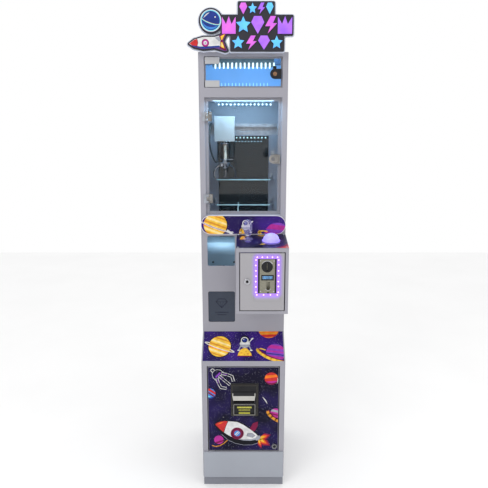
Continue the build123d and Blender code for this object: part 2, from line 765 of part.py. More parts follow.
hinge_x = -134.5
hinge_y = column - 2.5
hinge_radius = 4.0
hinge_heights = (1158.0, 1460.0)
hinge_tall = 32.0
clip_tall = 16.0
clip_right = -116.0
main_lock = (111.0, 1306.0)
with BuildPart() as main_door_glass:
    block(hinge_x + 2.5, light_glass_half, glass_front, glass_back, door_open_low + 3, door_open_high - 3)
    rod("Y", main_lock, barrel_radius, glass_front - 1, glass_back + 1, mode=Mode.SUBTRACT)
save(main_door_glass, "main_door_glass")

with BuildPart() as main_door_fittings:
    # Hinge clips that grip the glass, and the lock's body
    for height in hinge_heights:
        low, high = height - clip_tall / 2, height + clip_tall / 2
        tall_low, tall_high = height - hinge_tall / 2, height + hinge_tall / 2
        rod("Z", (hinge_x, hinge_y), hinge_radius, low + 0.4, high - 0.4)
        block(hinge_x, hinge_x + hinge_radius + 1, hinge_y - 1, glass_front, low + 0.4, high - 0.4)
        block(hinge_x + hinge_radius + 1, clip_right, glass_front - 2.5, glass_front, tall_low, tall_high)
        block(hinge_x + 1, clip_right, glass_back, glass_back + 2, tall_low, tall_high)
        block(hinge_x + 1, hinge_x + 2.5, glass_front - 1, glass_back + 2, low + 0.4, high - 0.4)
        rod("Z", (hinge_x, hinge_y), 1.5 + fit_gap, tall_low, tall_high, mode=Mode.SUBTRACT)
    block(main_lock[0], 137, lock_front + 2, glass_front, main_lock[1] - 17, main_lock[1] + 17)
    rod("Y", main_lock, 16.0, lock_front, glass_front)
    rod("Y", main_lock, barrel_radius, glass_front, glass_lock_end)
    rod("Y", main_lock, plug_radius + fit_gap, lock_front - 1, glass_lock_end + 1, mode=Mode.SUBTRACT)
save(main_door_fittings, "main_door_fittings")

with BuildPart() as main_door_lock_plug:
    lock_plug(main_lock, lock_front - 0.5, glass_lock_end + 0.4)
save(main_door_lock_plug, "main_door_lock_plug")

pin_long = 12.0
with BuildPart() as frame_hinge_parts:
    # Pivot pins held in the frames' lips, and the fixed leaves of the glass door's hinges
    for place, low, high in (
            ((service_pin_x, service_pin_y), service_open_low, service_open_high),
            ((coin_pin_x, coin_pin_y), coin_open_low, coin_open_high)):
        rod("Z", place, pin_radius, low - sheet, low + door_gap + sheet + 1)
        rod("Z", place, pin_radius, high - door_gap - sheet - 1, high + sheet)
    rod("Z", (light_pin_x, light_pin_y), pin_radius, light_open_low - sheet, light_open_low + pin_long)
    rod("Z", (light_pin_x, light_pin_y), pin_radius, light_open_high - pin_long, light_open_high + sheet)
    for height in hinge_heights:
        tall_low, tall_high = height - hinge_tall / 2, height + hinge_tall / 2
        block(-column_open_half - 8, hinge_x - hinge_radius - 0.6, column - 2, column, tall_low, tall_high)
        for low, high in ((tall_low, height - clip_tall / 2), (height + clip_tall / 2, tall_high)):
            rod("Z", (hinge_x, hinge_y), hinge_radius, low, high)
            block(hinge_x - hinge_radius - 1, hinge_x, column - 3, column - 0.5, low, high)
        rod("Z", (hinge_x, hinge_y), 1.5, tall_low, tall_high)
save(frame_hinge_parts, "frame_hinge_parts")

# ---- Prize flap ----

with BuildPart() as prize_flap:
    # A smoked acrylic flap hung on a rod, pushed inwards by hand
    rod("X", (flap_rod_y, flap_rod_z), pin_radius, flap_left - 5, flap_right + 5)
    rod("X", (flap_rod_y, flap_rod_z), 3.5, flap_left, flap_right)
    block(flap_left, flap_right, flap_rod_y - 3.5, flap_rod_y - 0.5, flap_open_low - 4, flap_rod_z)
save(prize_flap, "prize_flap")

# ---- Crane ----

beam_back = beam_front + beam_depth
plate_thick = 3.0
axle_y = beam_back + 10
running_gap = 0.3
gantry_wheel_radius = rail_half_height - sheet - running_gap
gantry_front = -6.0
with BuildPart() as gantry_frame:
    # The cross beam is a lipped channel, open to the front, between two end plates
    beam_low, beam_high = beam_mid - beam_height / 2, beam_mid + beam_height / 2
    slot_half = 8.0
    block(-beam_half, beam_half, beam_front, beam_back, beam_low, beam_high)
    block(-beam_half - 1, beam_half + 1, beam_front + sheet, beam_back - sheet,
          beam_low + sheet, beam_high - sheet, mode=Mode.SUBTRACT)
    block(-beam_half - 1, beam_half + 1, beam_front - 1, beam_front + sheet + 1,
          beam_mid - slot_half, beam_mid + slot_half, mode=Mode.SUBTRACT)
    for side in (-1, 1):
        near, far = side * beam_half, side * (beam_half + plate_thick)
        block(min(near, far), max(near, far), gantry_front, axle_y + 8, beam_low, beam_high)
        shoe = side * (inner_half - sheet - 1)
        block(min(far, shoe), max(far, shoe), gantry_front, gantry_front + 24, beam_mid - 13, beam_mid + 13)
    rod("X", (axle_y, beam_mid), 3 + fit_gap, -beam_half - 5, beam_half + 5, mode=Mode.SUBTRACT)
    # The drive motor on the left end plate
    rod("X", (axle_y, beam_mid), 9, -beam_half, -beam_half + 36)
    rod("X", (axle_y, beam_mid), 3 + fit_gap, -beam_half - 5, -beam_half + 40, mode=Mode.SUBTRACT)
save(gantry_frame, "gantry_frame")

with BuildPart() as gantry_axle:
    # Drive shaft with a rubber-tyred wheel at each end, running in the side rails
    rod("X", (axle_y, beam_mid), 3, -inner_half + 4, inner_half - 4)
    for side in (-1, 1):
        inner, outer = side * (inner_half - 12), side * (inner_half - 4)
        rod("X", (axle_y, beam_mid), gantry_wheel_radius, min(inner, outer), max(inner, outer))
save(gantry_axle, "gantry_axle")

carriage_back = beam_front - 3.0
carriage_front = carriage_back - plate_thick
cheek_low = 1427.0
drum_y = claw_y + drum_radius
drum_left = -84.5
drum_right = -60.5
shaft_radius = 2.5
cord_x = -46.0
cord_radius = 8.0
cord_shelf = 1395.0
with BuildPart() as trolley_frame:
    # Carriage plate, sliding shoes in the beam, cheeks for the drum, and the two motors
    block(cover_left, cover_right, carriage_front, carriage_back, cover_low, cover_high)
    for x in (cover_left + 4, cover_right - 12):
        block(x, x + 8, carriage_back, beam_front + 4, beam_mid - 6, beam_mid + 6)
        block(x, x + 8, beam_front + sheet + 0.5, beam_back - sheet - 1, beam_mid - 19, beam_mid + 19)
    for x in (drum_left - 2.5, drum_right + 0.5):
        block(x, x + sheet, -6, carriage_front, cheek_low, cover_high - 4)
    rod("X", (drum_y, drum_height), shaft_radius + fit_gap, drum_left - 30, drum_right + 6,
        mode=Mode.SUBTRACT)
    rod("X", (drum_y, drum_height), 9, cover_left + 3, drum_left - 2.5)
    rod("X", (drum_y, drum_height), shaft_radius + fit_gap, drum_left - 8, drum_left, mode=Mode.SUBTRACT)
    rod("Y", (claw_x, beam_mid), 9, carriage_front - 16, carriage_front)
    rod("Y", (claw_x, beam_mid), shaft_radius + fit_gap, carriage_front - 10, carriage_back + 1,
        mode=Mode.SUBTRACT)
    block(cord_x - cord_radius, cord_x + cord_radius, claw_y - cord_radius, carriage_front,
          cord_shelf, cord_shelf + sheet)
save(trolley_frame, "trolley_frame")

with BuildPart() as trolley_wheel:
    # Runs inside the beam and carries the trolley
    rod("Y", (claw_x, beam_mid), roller_radius, beam_front + sheet + 2, beam_back - sheet - 2)
    rod("Y", (claw_x, beam_mid), shaft_radius, carriage_front - 8, beam_front + sheet + 2)
save(trolley_wheel, "trolley_wheel")

cover_sheet = 1.5
cover_front = column + 90
with BuildPart() as trolley_cover:
    # A folded cover, open at the back, with a slot below for the string and the cord
    block(cover_left, cover_right, cover_front, carriage_front, cover_low, cover_high)
    block(cover_left + cover_sheet, cover_right - cover_sheet, cover_front + cover_sheet,
          carriage_front + 1, cover_low + cover_sheet, cover_high - cover_sheet, mode=Mode.SUBTRACT)
    block(claw_x - 8, cover_right - 2.5, claw_y - 9, claw_y + 9, cover_low - 1, cover_low + 2,
          mode=Mode.SUBTRACT)
save(trolley_cover, "trolley_cover")

with BuildPart() as winch_drum:
    rod("X", (drum_y, drum_height), drum_radius, drum_left, drum_right)
    for x in (drum_left, drum_right - 1.5):
        rod("X", (drum_y, drum_height), drum_radius + 2, x, x + 1.5)
    rod("X", (drum_y, drum_height), shaft_radius, drum_left - 7, drum_right + 3)
save(winch_drum, "winch_drum")

string_radius = 0.8
eye_top = coil_high + 14.0
with BuildPart() as hoist_string:
    rod("Z", (claw_x, claw_y - string_radius - 0.1), string_radius, eye_top, drum_height)
save(hoist_string, "hoist_string")

with BuildPart() as curly_cord:
    # The claw's coiled supply cord, at its outer diameter
    rod("Z", (cord_x, claw_y), cord_radius, coil_low, cord_shelf)
save(curly_cord, "curly_cord")

cable_radius = 3.0
cable_route = [
    (-125, 18, 1440), (-129, -6, 1432), (-131, -24, 1404), (-131, -32, 1366), (-125, -35, 1330),
    (-116, -30, 1304), (-108, -16, 1289), (-104, 4, 1287), (-102, 20, 1306), (-101, 26, 1336),
    (-101, 26, 1369.5),
]
with BuildPart() as trolley_cable:
    # The trolley's supply cable hangs in a loop from the gantry's end plate
    runs = [Vector(*a) for a in cable_route]
    radii = []
    for a, b, c in zip(runs, runs[1:], runs[2:]):
        shorter = min((b - a).length, (c - b).length)
        turn = radians((b - a).get_angle(c - b))
        radii.append(0.45 * shorter / (sin(turn / 2) / cos(turn / 2)))
    with BuildLine() as cable_path:
        FilletPolyline(*cable_route, radius=radii)
    route = cable_path.wires()[0]
    with BuildSketch(Plane(route @ 0, z_dir=route % 0)):
        Circle(cable_radius)
    sweep(path=route)
    straight = pi * cable_radius ** 2 * route.length
    print("cable radii", [round(r) for r in radii], "length", round(route.length))
    print("cable volume over section times length", round(trolley_cable.part.volume / straight, 4))
save(trolley_cable, "trolley_cable")

hub_low = 1286.0
hub_radius = 22.0
plunger_stroke = 6.0
finger_angles = (90, 210, 330)
with BuildPart() as claw_body:
    # Coil with its caps and string eye, neck and hub, and the cord's arm
    rod("Z", (claw_x, claw_y), coil_radius, coil_low, coil_high)
    rod("Z", (claw_x, claw_y), coil_radius + 2.5, coil_low - 3, coil_low)
    rod("Z", (claw_x, claw_y), coil_radius + 2.5, coil_high, coil_high + 4)
    rod("Z", (claw_x, claw_y), 3, coil_high + 4, eye_top)
    rod("Z", (claw_x, claw_y), 9, hub_low, coil_low - 3)
    rod("Z", (claw_x, claw_y), hub_radius, hub_low, hub_low + 3)
    block(claw_x, cord_x + 5, claw_y - 4, claw_y + 4, coil_low - 3, coil_low)
    for angle in finger_angles:
        with Locations(Location((claw_x, claw_y, finger_pivot_height), (0, 0, angle))):
            for side in (-1, 1):
                with Locations((finger_pivot_out, side * (finger_width / 2 + 1.6), 1)):
                    Box(7, 2, 12)
            with Locations((finger_pivot_out, 0, 0)):
                Cylinder(1.5, finger_width + 4, rotation=(90, 0, 0))
    rod("Z", (claw_x, claw_y), 4 + 0.3, hub_low - 1, coil_high - 10, mode=Mode.SUBTRACT)
save(claw_body, "claw_body")

with BuildPart() as claw_plunger:
    # Drawn up by the coil; its collar lifts the fingers' inner ends
    rod("Z", (claw_x, claw_y), 4, finger_pivot_height - 13, coil_high - 10 - plunger_stroke - 4)
    rod("Z", (claw_x, claw_y), 9.5, finger_pivot_height - 13, finger_pivot_height - 10)
save(claw_plunger, "claw_plunger")


def claw_finger(angle):
    """One finger: a bent strip with its pivot hole, in the plane through the claw's axis."""
    across = Vector(cos(radians(angle)), sin(radians(angle)), 0)
    upright = Plane(origin=(claw_x, claw_y, 0), x_dir=across, z_dir=across.cross(Vector(0, 0, 1)))
    pivot = (finger_pivot_out, finger_pivot_height)
    with BuildSketch(upright.offset(-finger_width / 2)) as strip:
        with BuildLine():
            f1 = Line((7, pivot[1] + 0.5), (pivot[0], pivot[1] + 3))
            f2 = ThreePointArc(f1 @ 1, (pivot[0] + 24.5, pivot[1] - 10), (pivot[0] + 33, pivot[1] - 41))
            f3 = Line(f2 @ 1, (pivot[0] + 28.5, pivot[1] - 51))
            f4 = Line(f3 @ 1, (pivot[0] + 26.5, pivot[1] - 50))
            f5 = Line(f4 @ 1, (pivot[0] + 29.8, pivot[1] - 41))
            f6 = ThreePointArc(f5 @ 1, (pivot[0] + 21.8, pivot[1] - 12.5), (pivot[0], pivot[1] - 2.8))
            f7 = Line(f6 @ 1, (7, pivot[1] - 2.5))
            Line(f7 @ 1, f1 @ 0)
        make_face()
        with Locations(pivot):
            Circle(1.5 + fit_gap, mode=Mode.SUBTRACT)
    extrude(strip.sketch, amount=finger_width)


for number, angle in enumerate(finger_angles, 1):
    with BuildPart() as finger:
        claw_finger(angle)
    save(finger, f"claw_finger_{number}")

# ---- Electronics in the base ----

board_left = -130.0
board_top = 14.0
with BuildPart() as electronics:
    # The power supply in its cooling case
    block(20, 130, 40, 150, sheet, 42)
    for i in range(8):
        block(31 + 12 * i, 35 + 12 * i, 50, 140, 41, 43, mode=Mode.SUBTRACT)
    # The main board on four pillars, with its connectors, transformer and processor
    block(board_left, board_left + 120, 20, 140, board_top - 1.6, board_top)
    for x in (board_left + 6, board_left + 114):
        for y in (26, 134):
            rod("Z", (x, y), 3, sheet, board_top - 1.6)
    for i in range(6):
        block(board_left + 10 + 18 * i, board_left + 22 + 18 * i, 24, 32, board_top, board_top + 10)
    block(board_left + 20, board_left + 50, 70, 100, board_top, board_top + 18)
    block(board_left + 70, board_left + 100, 60, 90, board_top, board_top + 5)
save(electronics, "electronics")

with BuildPart() as power_inlet:
    # Mains inlet socket, and beside it the housing of the rocker switch
    block(inlet_x - inlet_width / 2 - 8, inlet_x + inlet_width / 2 + 8, back, back + 3,
          inlet_z - inlet_height / 2 - 3, inlet_z + inlet_height / 2 + 3)
    block(inlet_x - inlet_width / 2 + 0.3, inlet_x + inlet_width / 2 - 0.3, back - 24, back,
          inlet_z - inlet_height / 2 + 0.3, inlet_z + inlet_height / 2 - 0.3)
    block(inlet_x - 11, inlet_x + 11, back - 15, back + 4, inlet_z - 7, inlet_z + 7, mode=Mode.SUBTRACT)
    for blade in (-7, 0, 7):
        block(inlet_x + blade - 1, inlet_x + blade + 1, back - 16, back - 4, inlet_z - 2, inlet_z + 2)
    block(switch_x - switch_width / 2 - 2, switch_x + switch_width / 2 + 2, back, back + 2,
          inlet_z - switch_height / 2 - 2, inlet_z + switch_height / 2 + 2)
    block(switch_x - switch_width / 2 + 0.3, switch_x + switch_width / 2 - 0.3, back - 16, back,
          inlet_z - switch_height / 2 + 0.3, inlet_z + switch_height / 2 - 0.3)
    rod("X", (back, inlet_z), 6.0, switch_x - 8, switch_x + 8, mode=Mode.SUBTRACT)
save(power_inlet, "power_inlet")

with BuildPart() as power_switch:
    # The rocker rolls in its housing about its own middle
    rod("X", (back, inlet_z), 5.6, switch_x - 7.6, switch_x + 7.6)
    block(switch_x - 9, switch_x + 9, back + 3, back + 7, inlet_z - 7, inlet_z + 7, mode=Mode.SUBTRACT)
save(power_switch, "power_switch")

# ---- Banner and sign ----

banner_front = column - 2 * board_thickness
with BuildPart() as banner_board:
    with BuildSketch(Plane.XZ.offset(-banner_front - board_thickness)):
        with Locations((0, (banner_low + banner_high) / 2)):
            SlotOverall(2 * half_width, banner_high - banner_low)
    extrude(amount=board_thickness)
save(banner_board, "banner_board")


def star(x, z, width, height):
    points = []
    for i in range(10):
        reach = 0.5 if i % 2 == 0 else 0.25
        turn = pi / 2 + i * pi / 5
        points.append((x + reach * width * cos(turn), z + reach * height * sin(turn)))
    return points


def gem(x, z, width, height):
    return [(x - width / 2, z + height * 0.15), (x - width * 0.28, z + height / 2),
            (x + width * 0.28, z + height / 2), (x + width / 2, z + height * 0.15), (x, z - height / 2)]


def bolt(x, z, width, height):
    return [(x - width * 0.05, z + height / 2), (x + width * 0.4, z + height / 2),
            (x + width * 0.16, z + height * 0.1), (x + width / 2, z + height * 0.1),
            (x - width * 0.28, z - height / 2), (x - width * 0.06, z - height * 0.08),
            (x - width / 2, z - height * 0.08)]


def crown(x, z, width, height):
    return [(x - width / 2, z - height / 2), (x - width / 2, z + height * 0.45),
            (x - width * 0.22, z + height * 0.02), (x, z + height / 2),
            (x + width * 0.22, z + height * 0.02), (x + width / 2, z + height * 0.45),
            (x + width / 2, z - height / 2)]


# Each row: its band above the roof, and the shape, middle and width of each piece on it
sign_rows = [
    (115, 153, [(gem, 0, 28), (star, 32, 32), (bolt, 62, 26), (gem, 91, 26)]),
    (52, 110, [(crown, -50, 48), (star, 0, 54), (gem, 50, 46), (bolt, 96, 42), (crown, 144, 50)]),
    (0, 47, [(star, -18, 46), (bolt, 28, 38), (gem, 72, 42), (star, 116, 44)]),
]
sign_back = column - sign_gap
sign_white = 3.0
sign_black = 8.0
sign_colour = 4.0
rocket_points = [(-189, 20), (-172, 33), (-140, 42), (-100, 42), (-66, 54), (-58, 54),
                 (-70, 30), (-56, -2), (-64, -4), (-100, 6), (-140, 2), (-172, 9)]
planet_centre = (-112.0, 95.0)
planet_radius = 37.0
rim_margin = 9.0
body_margin = 5.0


def sign_layer(grow, thickness, y):
    """The sign's shapes as one layer; a grown layer also fills the field behind each row."""
    with BuildSketch(Plane(origin=(0, y, cabinet_height), x_dir=(1, 0, 0), z_dir=(0, -1, 0))) as layer:
        for low, high, pieces in sign_rows:
            for shape, x, width in pieces:
                with BuildLine():
                    Polyline(*shape(x, (low + high) / 2, width, high - low), close=True)
                make_face()
            if grow:
                row_left = pieces[0][1] - pieces[0][2] / 2
                row_right = pieces[-1][1] + pieces[-1][2] / 2
                with Locations(((row_left + row_right) / 2, (low + high) / 2)):
                    Rectangle(row_right - row_left, high - low)
        with BuildLine():
            Polyline(*rocket_points, close=True)
        make_face()
        with Locations(planet_centre):
            Circle(planet_radius)
        if grow:
            offset(amount=grow, kind=Kind.ARC)
    extrude(layer.sketch, amount=thickness)


with BuildPart() as sign_rim:
    sign_layer(rim_margin, sign_white, sign_back)

with BuildPart() as sign_body:
    sign_layer(body_margin, sign_black, sign_back - sign_white)

with BuildPart() as sign_backboard:
    # A thin rim board and a thick dark board, glued face to face
    add(Compound(children=[sign_rim.part.solid(), sign_body.part.solid()]))
save(sign_backboard, "sign_backboard")

with BuildPart() as sign_shapes:
    sign_layer(0, sign_colour, sign_back - sign_white - sign_black)
save(sign_shapes, "sign_shapes")

bracket_width = 20.0
bracket_thick = 3.0
bracket_foot = 60.0        # how far back on the roof each strap reaches
bracket_rise = 100.0
bracket_places = (-40.0, 90.0)
with BuildPart() as sign_brackets:
    # Two bent straps from the roof up the back of the sign
    top = cabinet_height + bracket_thick
    for x in bracket_places:
        with BuildSketch(Plane.YZ.offset(x)):
            with BuildLine():
                Polyline(*folded([(column + bracket_foot, top), (sign_back + bracket_thick, top),
                                  (sign_back + bracket_thick, cabinet_height + bracket_rise)],
                                 bracket_thick), close=True)
            make_face()
        extrude(amount=bracket_width)
save(sign_brackets, "sign_brackets")
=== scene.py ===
import math

import bmesh
import bpy
from mathutils import Matrix, Vector


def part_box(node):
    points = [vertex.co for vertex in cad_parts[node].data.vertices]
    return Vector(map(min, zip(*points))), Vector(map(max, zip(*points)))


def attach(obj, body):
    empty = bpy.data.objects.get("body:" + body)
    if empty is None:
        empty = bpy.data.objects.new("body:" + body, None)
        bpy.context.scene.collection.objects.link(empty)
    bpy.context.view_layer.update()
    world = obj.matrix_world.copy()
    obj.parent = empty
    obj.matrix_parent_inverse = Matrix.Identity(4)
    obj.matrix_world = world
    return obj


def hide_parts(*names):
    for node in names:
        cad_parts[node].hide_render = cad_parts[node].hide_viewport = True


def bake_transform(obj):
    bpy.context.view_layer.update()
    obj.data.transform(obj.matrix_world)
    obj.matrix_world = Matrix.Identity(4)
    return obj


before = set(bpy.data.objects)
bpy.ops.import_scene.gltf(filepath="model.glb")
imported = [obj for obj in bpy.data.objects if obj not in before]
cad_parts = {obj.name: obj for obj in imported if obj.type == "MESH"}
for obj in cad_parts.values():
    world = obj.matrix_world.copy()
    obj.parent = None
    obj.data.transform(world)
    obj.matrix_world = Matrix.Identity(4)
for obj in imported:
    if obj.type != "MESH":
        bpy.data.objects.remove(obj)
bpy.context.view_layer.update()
MM = 0.001

# ---- Room: floor, soft lights and the camera ----
# A plain white room, and a camera at standing height that looks slightly down at the machine.
# It has the 37 mm lens that the machine's own converging edges call for.


def material_tree(name):
    """A new material: its node tree and its one Principled shader."""
    made = bpy.data.materials.new(name)
    made.use_nodes = True
    return made, made.node_tree, made.node_tree.nodes["Principled BSDF"]


def speckle(tree, scale, detail=4.0, stretch=(1, 1, 1)):
    """Noise that is fixed in the object's own metres; stretch sets the grain's direction."""
    place = tree.nodes.new("ShaderNodeTexCoord")
    mapping = tree.nodes.new("ShaderNodeMapping")
    mapping.inputs["Scale"].default_value = stretch
    noise = tree.nodes.new("ShaderNodeTexNoise")
    noise.inputs["Scale"].default_value = scale
    noise.inputs["Detail"].default_value = detail
    tree.links.new(place.outputs["Object"], mapping.inputs["Vector"])
    tree.links.new(mapping.outputs["Vector"], noise.inputs["Vector"])
    return noise.outputs["Fac"]


def two_tones(tree, factor, first, second, low=0.35, high=0.65):
    """A ramp from one colour to another, linked from a factor."""
    ramp = tree.nodes.new("ShaderNodeValToRGB")
    ramp.color_ramp.elements[0].position = low
    ramp.color_ramp.elements[1].position = high
    ramp.color_ramp.elements[0].color = (*first[:3], 1)
    ramp.color_ramp.elements[1].color = (*second[:3], 1)
    tree.links.new(factor, ramp.inputs["Fac"])
    return ramp.outputs["Color"]


def spread(tree, factor, low, high):
    """A factor mapped to a range of plain numbers."""
    reach = tree.nodes.new("ShaderNodeMapRange")
    reach.inputs["To Min"].default_value = low
    reach.inputs["To Max"].default_value = high
    tree.links.new(factor, reach.inputs["Value"])
    return reach.outputs["Result"]


def relief(tree, shader, factor, height, strength=0.4):
    """Fine bumps, height in metres."""
    bump = tree.nodes.new("ShaderNodeBump")
    bump.inputs["Distance"].default_value = height
    bump.inputs["Strength"].default_value = strength
    tree.links.new(factor, bump.inputs["Height"])
    tree.links.new(bump.outputs["Normal"], shader.inputs["Normal"])


def finish_of(name, colour, contrast=0.06, rough=(0.35, 0.5), grain=900, cloud=14, height=0.0002,
              stretch=(1, 1, 1), **sockets):
    """A surface with cloudy tone, uneven gloss and fine grain."""
    made, tree, shader = material_tree(name)
    darker = [c * (1 - contrast) for c in colour]
    lighter = [min(1, c * (1 + contrast)) for c in colour]
    tone = two_tones(tree, speckle(tree, cloud, 5, stretch), darker, lighter)
    tree.links.new(tone, shader.inputs["Base Color"])
    fine = speckle(tree, grain, 2, stretch)
    tree.links.new(spread(tree, speckle(tree, cloud * 2.3, 4, stretch), *rough),
                   shader.inputs["Roughness"])
    relief(tree, shader, fine, height)
    for socket, value in sockets.items():
        shader.inputs[socket.replace("_", " ")].default_value = value
    return made


scene = bpy.context.scene
scene.view_settings.view_transform = "Standard"
world = bpy.data.worlds.new("white_room")
world.use_nodes = True
world.node_tree.nodes["Background"].inputs["Color"].default_value = (1, 1, 1, 1)
world.node_tree.nodes["Background"].inputs["Strength"].default_value = 1.0
scene.world = world

floor_mesh = bpy.data.meshes.new("floor")
floor_half = 4.0
floor_mesh.from_pydata([(-floor_half, -floor_half, 0), (floor_half, -floor_half, 0),
                        (floor_half, floor_half, 0), (-floor_half, floor_half, 0)], [], [(0, 1, 2, 3)])
floor = bpy.data.objects.new("floor", floor_mesh)
scene.collection.objects.link(floor)
floor.data.materials.append(finish_of("floor_white", (0.93, 0.93, 0.93), 0.01, (0.5, 0.6), 300, 2))


def soft_light(name, place, target, size, power, colour=(1, 1, 1)):
    data = bpy.data.lights.new(name, "AREA")
    data.size = size
    data.energy = power
    data.color = colour
    lamp = bpy.data.objects.new(name, data)
    lamp.location = place
    lamp.rotation_euler = (Vector(target) - Vector(place)).to_track_quat("-Z", "Y").to_euler()
    scene.collection.objects.link(lamp)
    return lamp


soft_light("key_light", (-1.6, -2.2, 2.6), (0, 0, 0.9), 1.6, 22)
soft_light("side_light", (2.2, -1.2, 1.8), (0, 0, 0.9), 1.6, 9)

camera_data = bpy.data.cameras.new("camera")
camera_data.lens = 36.9
camera_data.sensor_width = 36
camera = bpy.data.objects.new("camera", camera_data)
camera.location = (0.0025, -1.998, 1.385)
camera.rotation_euler = (math.radians(90 - 12.02), 0, 0)
scene.collection.objects.link(camera)
scene.camera = camera

# ---- Cabinet ----
# Folded steel panels, powder coated light grey, on a plinth whose coat is painted darker as shade.
# The coat has a fine orange peel; the kick panel's coat is a little lighter and bluer.


def coat(name, colour, **more):
    """Powder coat with a fine orange peel."""
    return finish_of(name, colour, contrast=0.03, rough=(0.38, 0.52), grain=1400, cloud=5,
                     height=0.00025, **more)


cabinet_coat = coat("cabinet_coat", (0.30, 0.295, 0.335))
kick_coat = coat("kick_coat", (0.31, 0.33, 0.375))
# The plinth's coat is painted darker: painted shade under the cabinet's overhang.
plinth_coat_painted_shade = coat("plinth_coat_painted_shade", (0.19, 0.20, 0.235))
chamber_coat = coat("chamber_coat", (0.42, 0.60, 0.76), Specular_IOR_Level=0.3)
chute_coat = coat("chute_coat", (0.40, 0.55, 0.68), Specular_IOR_Level=0.3)


def soften(piece, width=0.0006, angle=40):
    """Rounds a piece's sharp edges a little, as folded or machined edges are."""
    weld = piece.modifiers.new("weld", "WELD")
    weld.merge_threshold = 0.000005
    bevel = piece.modifiers.new("bevel", "BEVEL")
    bevel.width = width
    bevel.segments = 2
    bevel.limit_method = "ANGLE"
    bevel.angle_limit = math.radians(angle)


def dress(node, material, edge=0.0):
    """Gives a machine part its material, and rounds its edges where edge says."""
    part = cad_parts[node]
    part.data.materials.clear()
    part.data.materials.append(material)
    if edge:
        soften(part, edge)
    return part


for node in ("left_side_panel", "right_side_panel", "lower_front_panel", "middle_front_panel",
             "upper_front_frame", "roof_panel", "rear_panels", "control_box"):
    dress(node, cabinet_coat, 0.0007)
dress("kick_panel", kick_coat, 0.0009)
dress("base_pan", plinth_coat_painted_shade, 0.0007)
for node in ("light_box_floor", "playfield_deck"):
    dress(node, chamber_coat, 0.0005)
dress("prize_chute", chute_coat, 0.0005)


def shade_smooth(mesh, angle):
    """Smooth shading, kept sharp at edges over an angle in degrees."""
    for face in mesh.polygons:
        face.use_smooth = True
    mesh.set_sharp_from_angle(angle=math.radians(angle))


def two_faced(part, material, depth):
    """Gives a part's faces in front of a depth another material."""
    part.data.materials.append(material)
    for face in part.data.polygons:
        if face.center.y < depth:
            face.material_index = 1


def new_piece(name, mesh, body, *materials, smooth=None):
    """An object from a mesh, with its materials, riding on a body. smooth is an angle in degrees."""
    piece = bpy.data.objects.new(name, mesh)
    scene.collection.objects.link(piece)
    for material in materials:
        mesh.materials.append(material)
    if smooth is not None:
        shade_smooth(mesh, smooth)
    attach(piece, body)
    return piece


def mesh_of(name, bm, outwards=True):
    """Turns what was built into a mesh, with its faces turned outwards."""
    if outwards:
        bmesh.ops.recalc_face_normals(bm, faces=bm.faces)
    mesh = bpy.data.meshes.new(name)
    bm.to_mesh(mesh)
    bm.free()
    return mesh


def add(name, build, body, *materials, smooth=None, slot=None):
    """A piece that build(bm) fills in. slot is not used."""
    bm = bmesh.new()
    build(bm)
    piece = new_piece(name, mesh_of(name, bm), body, *materials, smooth=smooth)
    return piece


def wall(bm, first, second, material=0):
    """Quads between two closed loops of as many corners."""
    for i in range(len(first)):
        j = (i + 1) % len(first)
        bm.faces.new((first[i], first[j], second[j], second[i])).material_index = material


def slab(bm, outline, front, back):
    """Adds a flat shape, given in X and Z, between two depths."""
    near = [bm.verts.new((x, front, z)) for x, z in outline]
    far = [bm.verts.new((x, back, z)) for x, z in outline]
    bm.faces.new(near)
    bm.faces.new(far)
    wall(bm, near, far)


def circle(bm, centre, axis, radius, steps):
    """Corners round a circle that faces along an axis."""
    up = Vector(axis).normalized()
    side = up.orthogonal().normalized()
    third = up.cross(side)
    turns = [2 * math.pi * i / steps for i in range(steps)]
    return [bm.verts.new(Vector(centre) + (side * math.cos(turn) + third * math.sin(turn)) * radius)
            for turn in turns]


def hoop(bm, centre, axis, section, steps=40):
    """A ring with a closed section, given as (height along the axis, radius)."""
    up = Vector(axis).normalized()
    loops = [circle(bm, Vector(centre) + up * height, up, radius, steps) for height, radius in section]
    for first, second in zip(loops, loops[1:] + loops[:1]):
        wall(bm, first, second)


def turned(bm, profile, place, axis=(0, -1, 0), steps=32):
    """Adds a lathe-turned solid: profile is (height along the axis, radius), from one end to the other."""
    up = Vector(axis).normalized()
    rings = []
    for height, radius in profile:
        centre = Vector(place) + up * height
        rings.append(circle(bm, centre, up, radius, steps) if radius > 1e-7 else [bm.verts.new(centre)])
    for a, b in zip(rings, rings[1:]):
        if len(a) == 1 or len(b) == 1:
            tip, ring = (a[0], b) if len(a) == 1 else (b[0], a)
            for i in range(steps):
                bm.faces.new((ring[i], ring[(i + 1) % steps], tip))
        else:
            wall(bm, a, b)
    for ring in (rings[0], rings[-1]):
        if len(ring) > 1:
            bm.faces.new(ring)


def brick(bm, low, high, bevel=0.0, material=0):
    """Adds a box between two corners, with rounded edges."""
    start = bmesh.ops.create_cube(bm, size=1.0)["verts"]
    low, high = Vector(low), Vector(high)
    for vert in start:
        vert.co = Vector((low[k] + (vert.co[k] + 0.5) * (high[k] - low[k])) for k in range(3))
    faces = set(f for v in start for f in v.link_faces)
    for face in faces:
        face.material_index = material
    if bevel:
        edges = list({e for v in start for e in v.link_edges})
        done = bmesh.ops.bevel(bm, geom=edges, offset=bevel, segments=2, profile=0.6, affect="EDGES",
                               clamp_overlap=True, material=material)
        faces = set(done["faces"]) | {f for f in faces if f.is_valid}
    return faces


zinc = finish_of("zinc_plate", (0.34, 0.36, 0.40), 0.14, (0.25, 0.42), 700, 60, 0.0001, Metallic=1.0)
chrome = finish_of("bright_chrome", (0.50, 0.50, 0.53), 0.25, (0.06, 0.16), 500, 30, 0.00003, Metallic=1.0)
black_plastic = finish_of("moulded_black", (0.018, 0.018, 0.020), 0.2, (0.38, 0.55), 1800, 25, 0.0002,
                          Specular_IOR_Level=0.15)


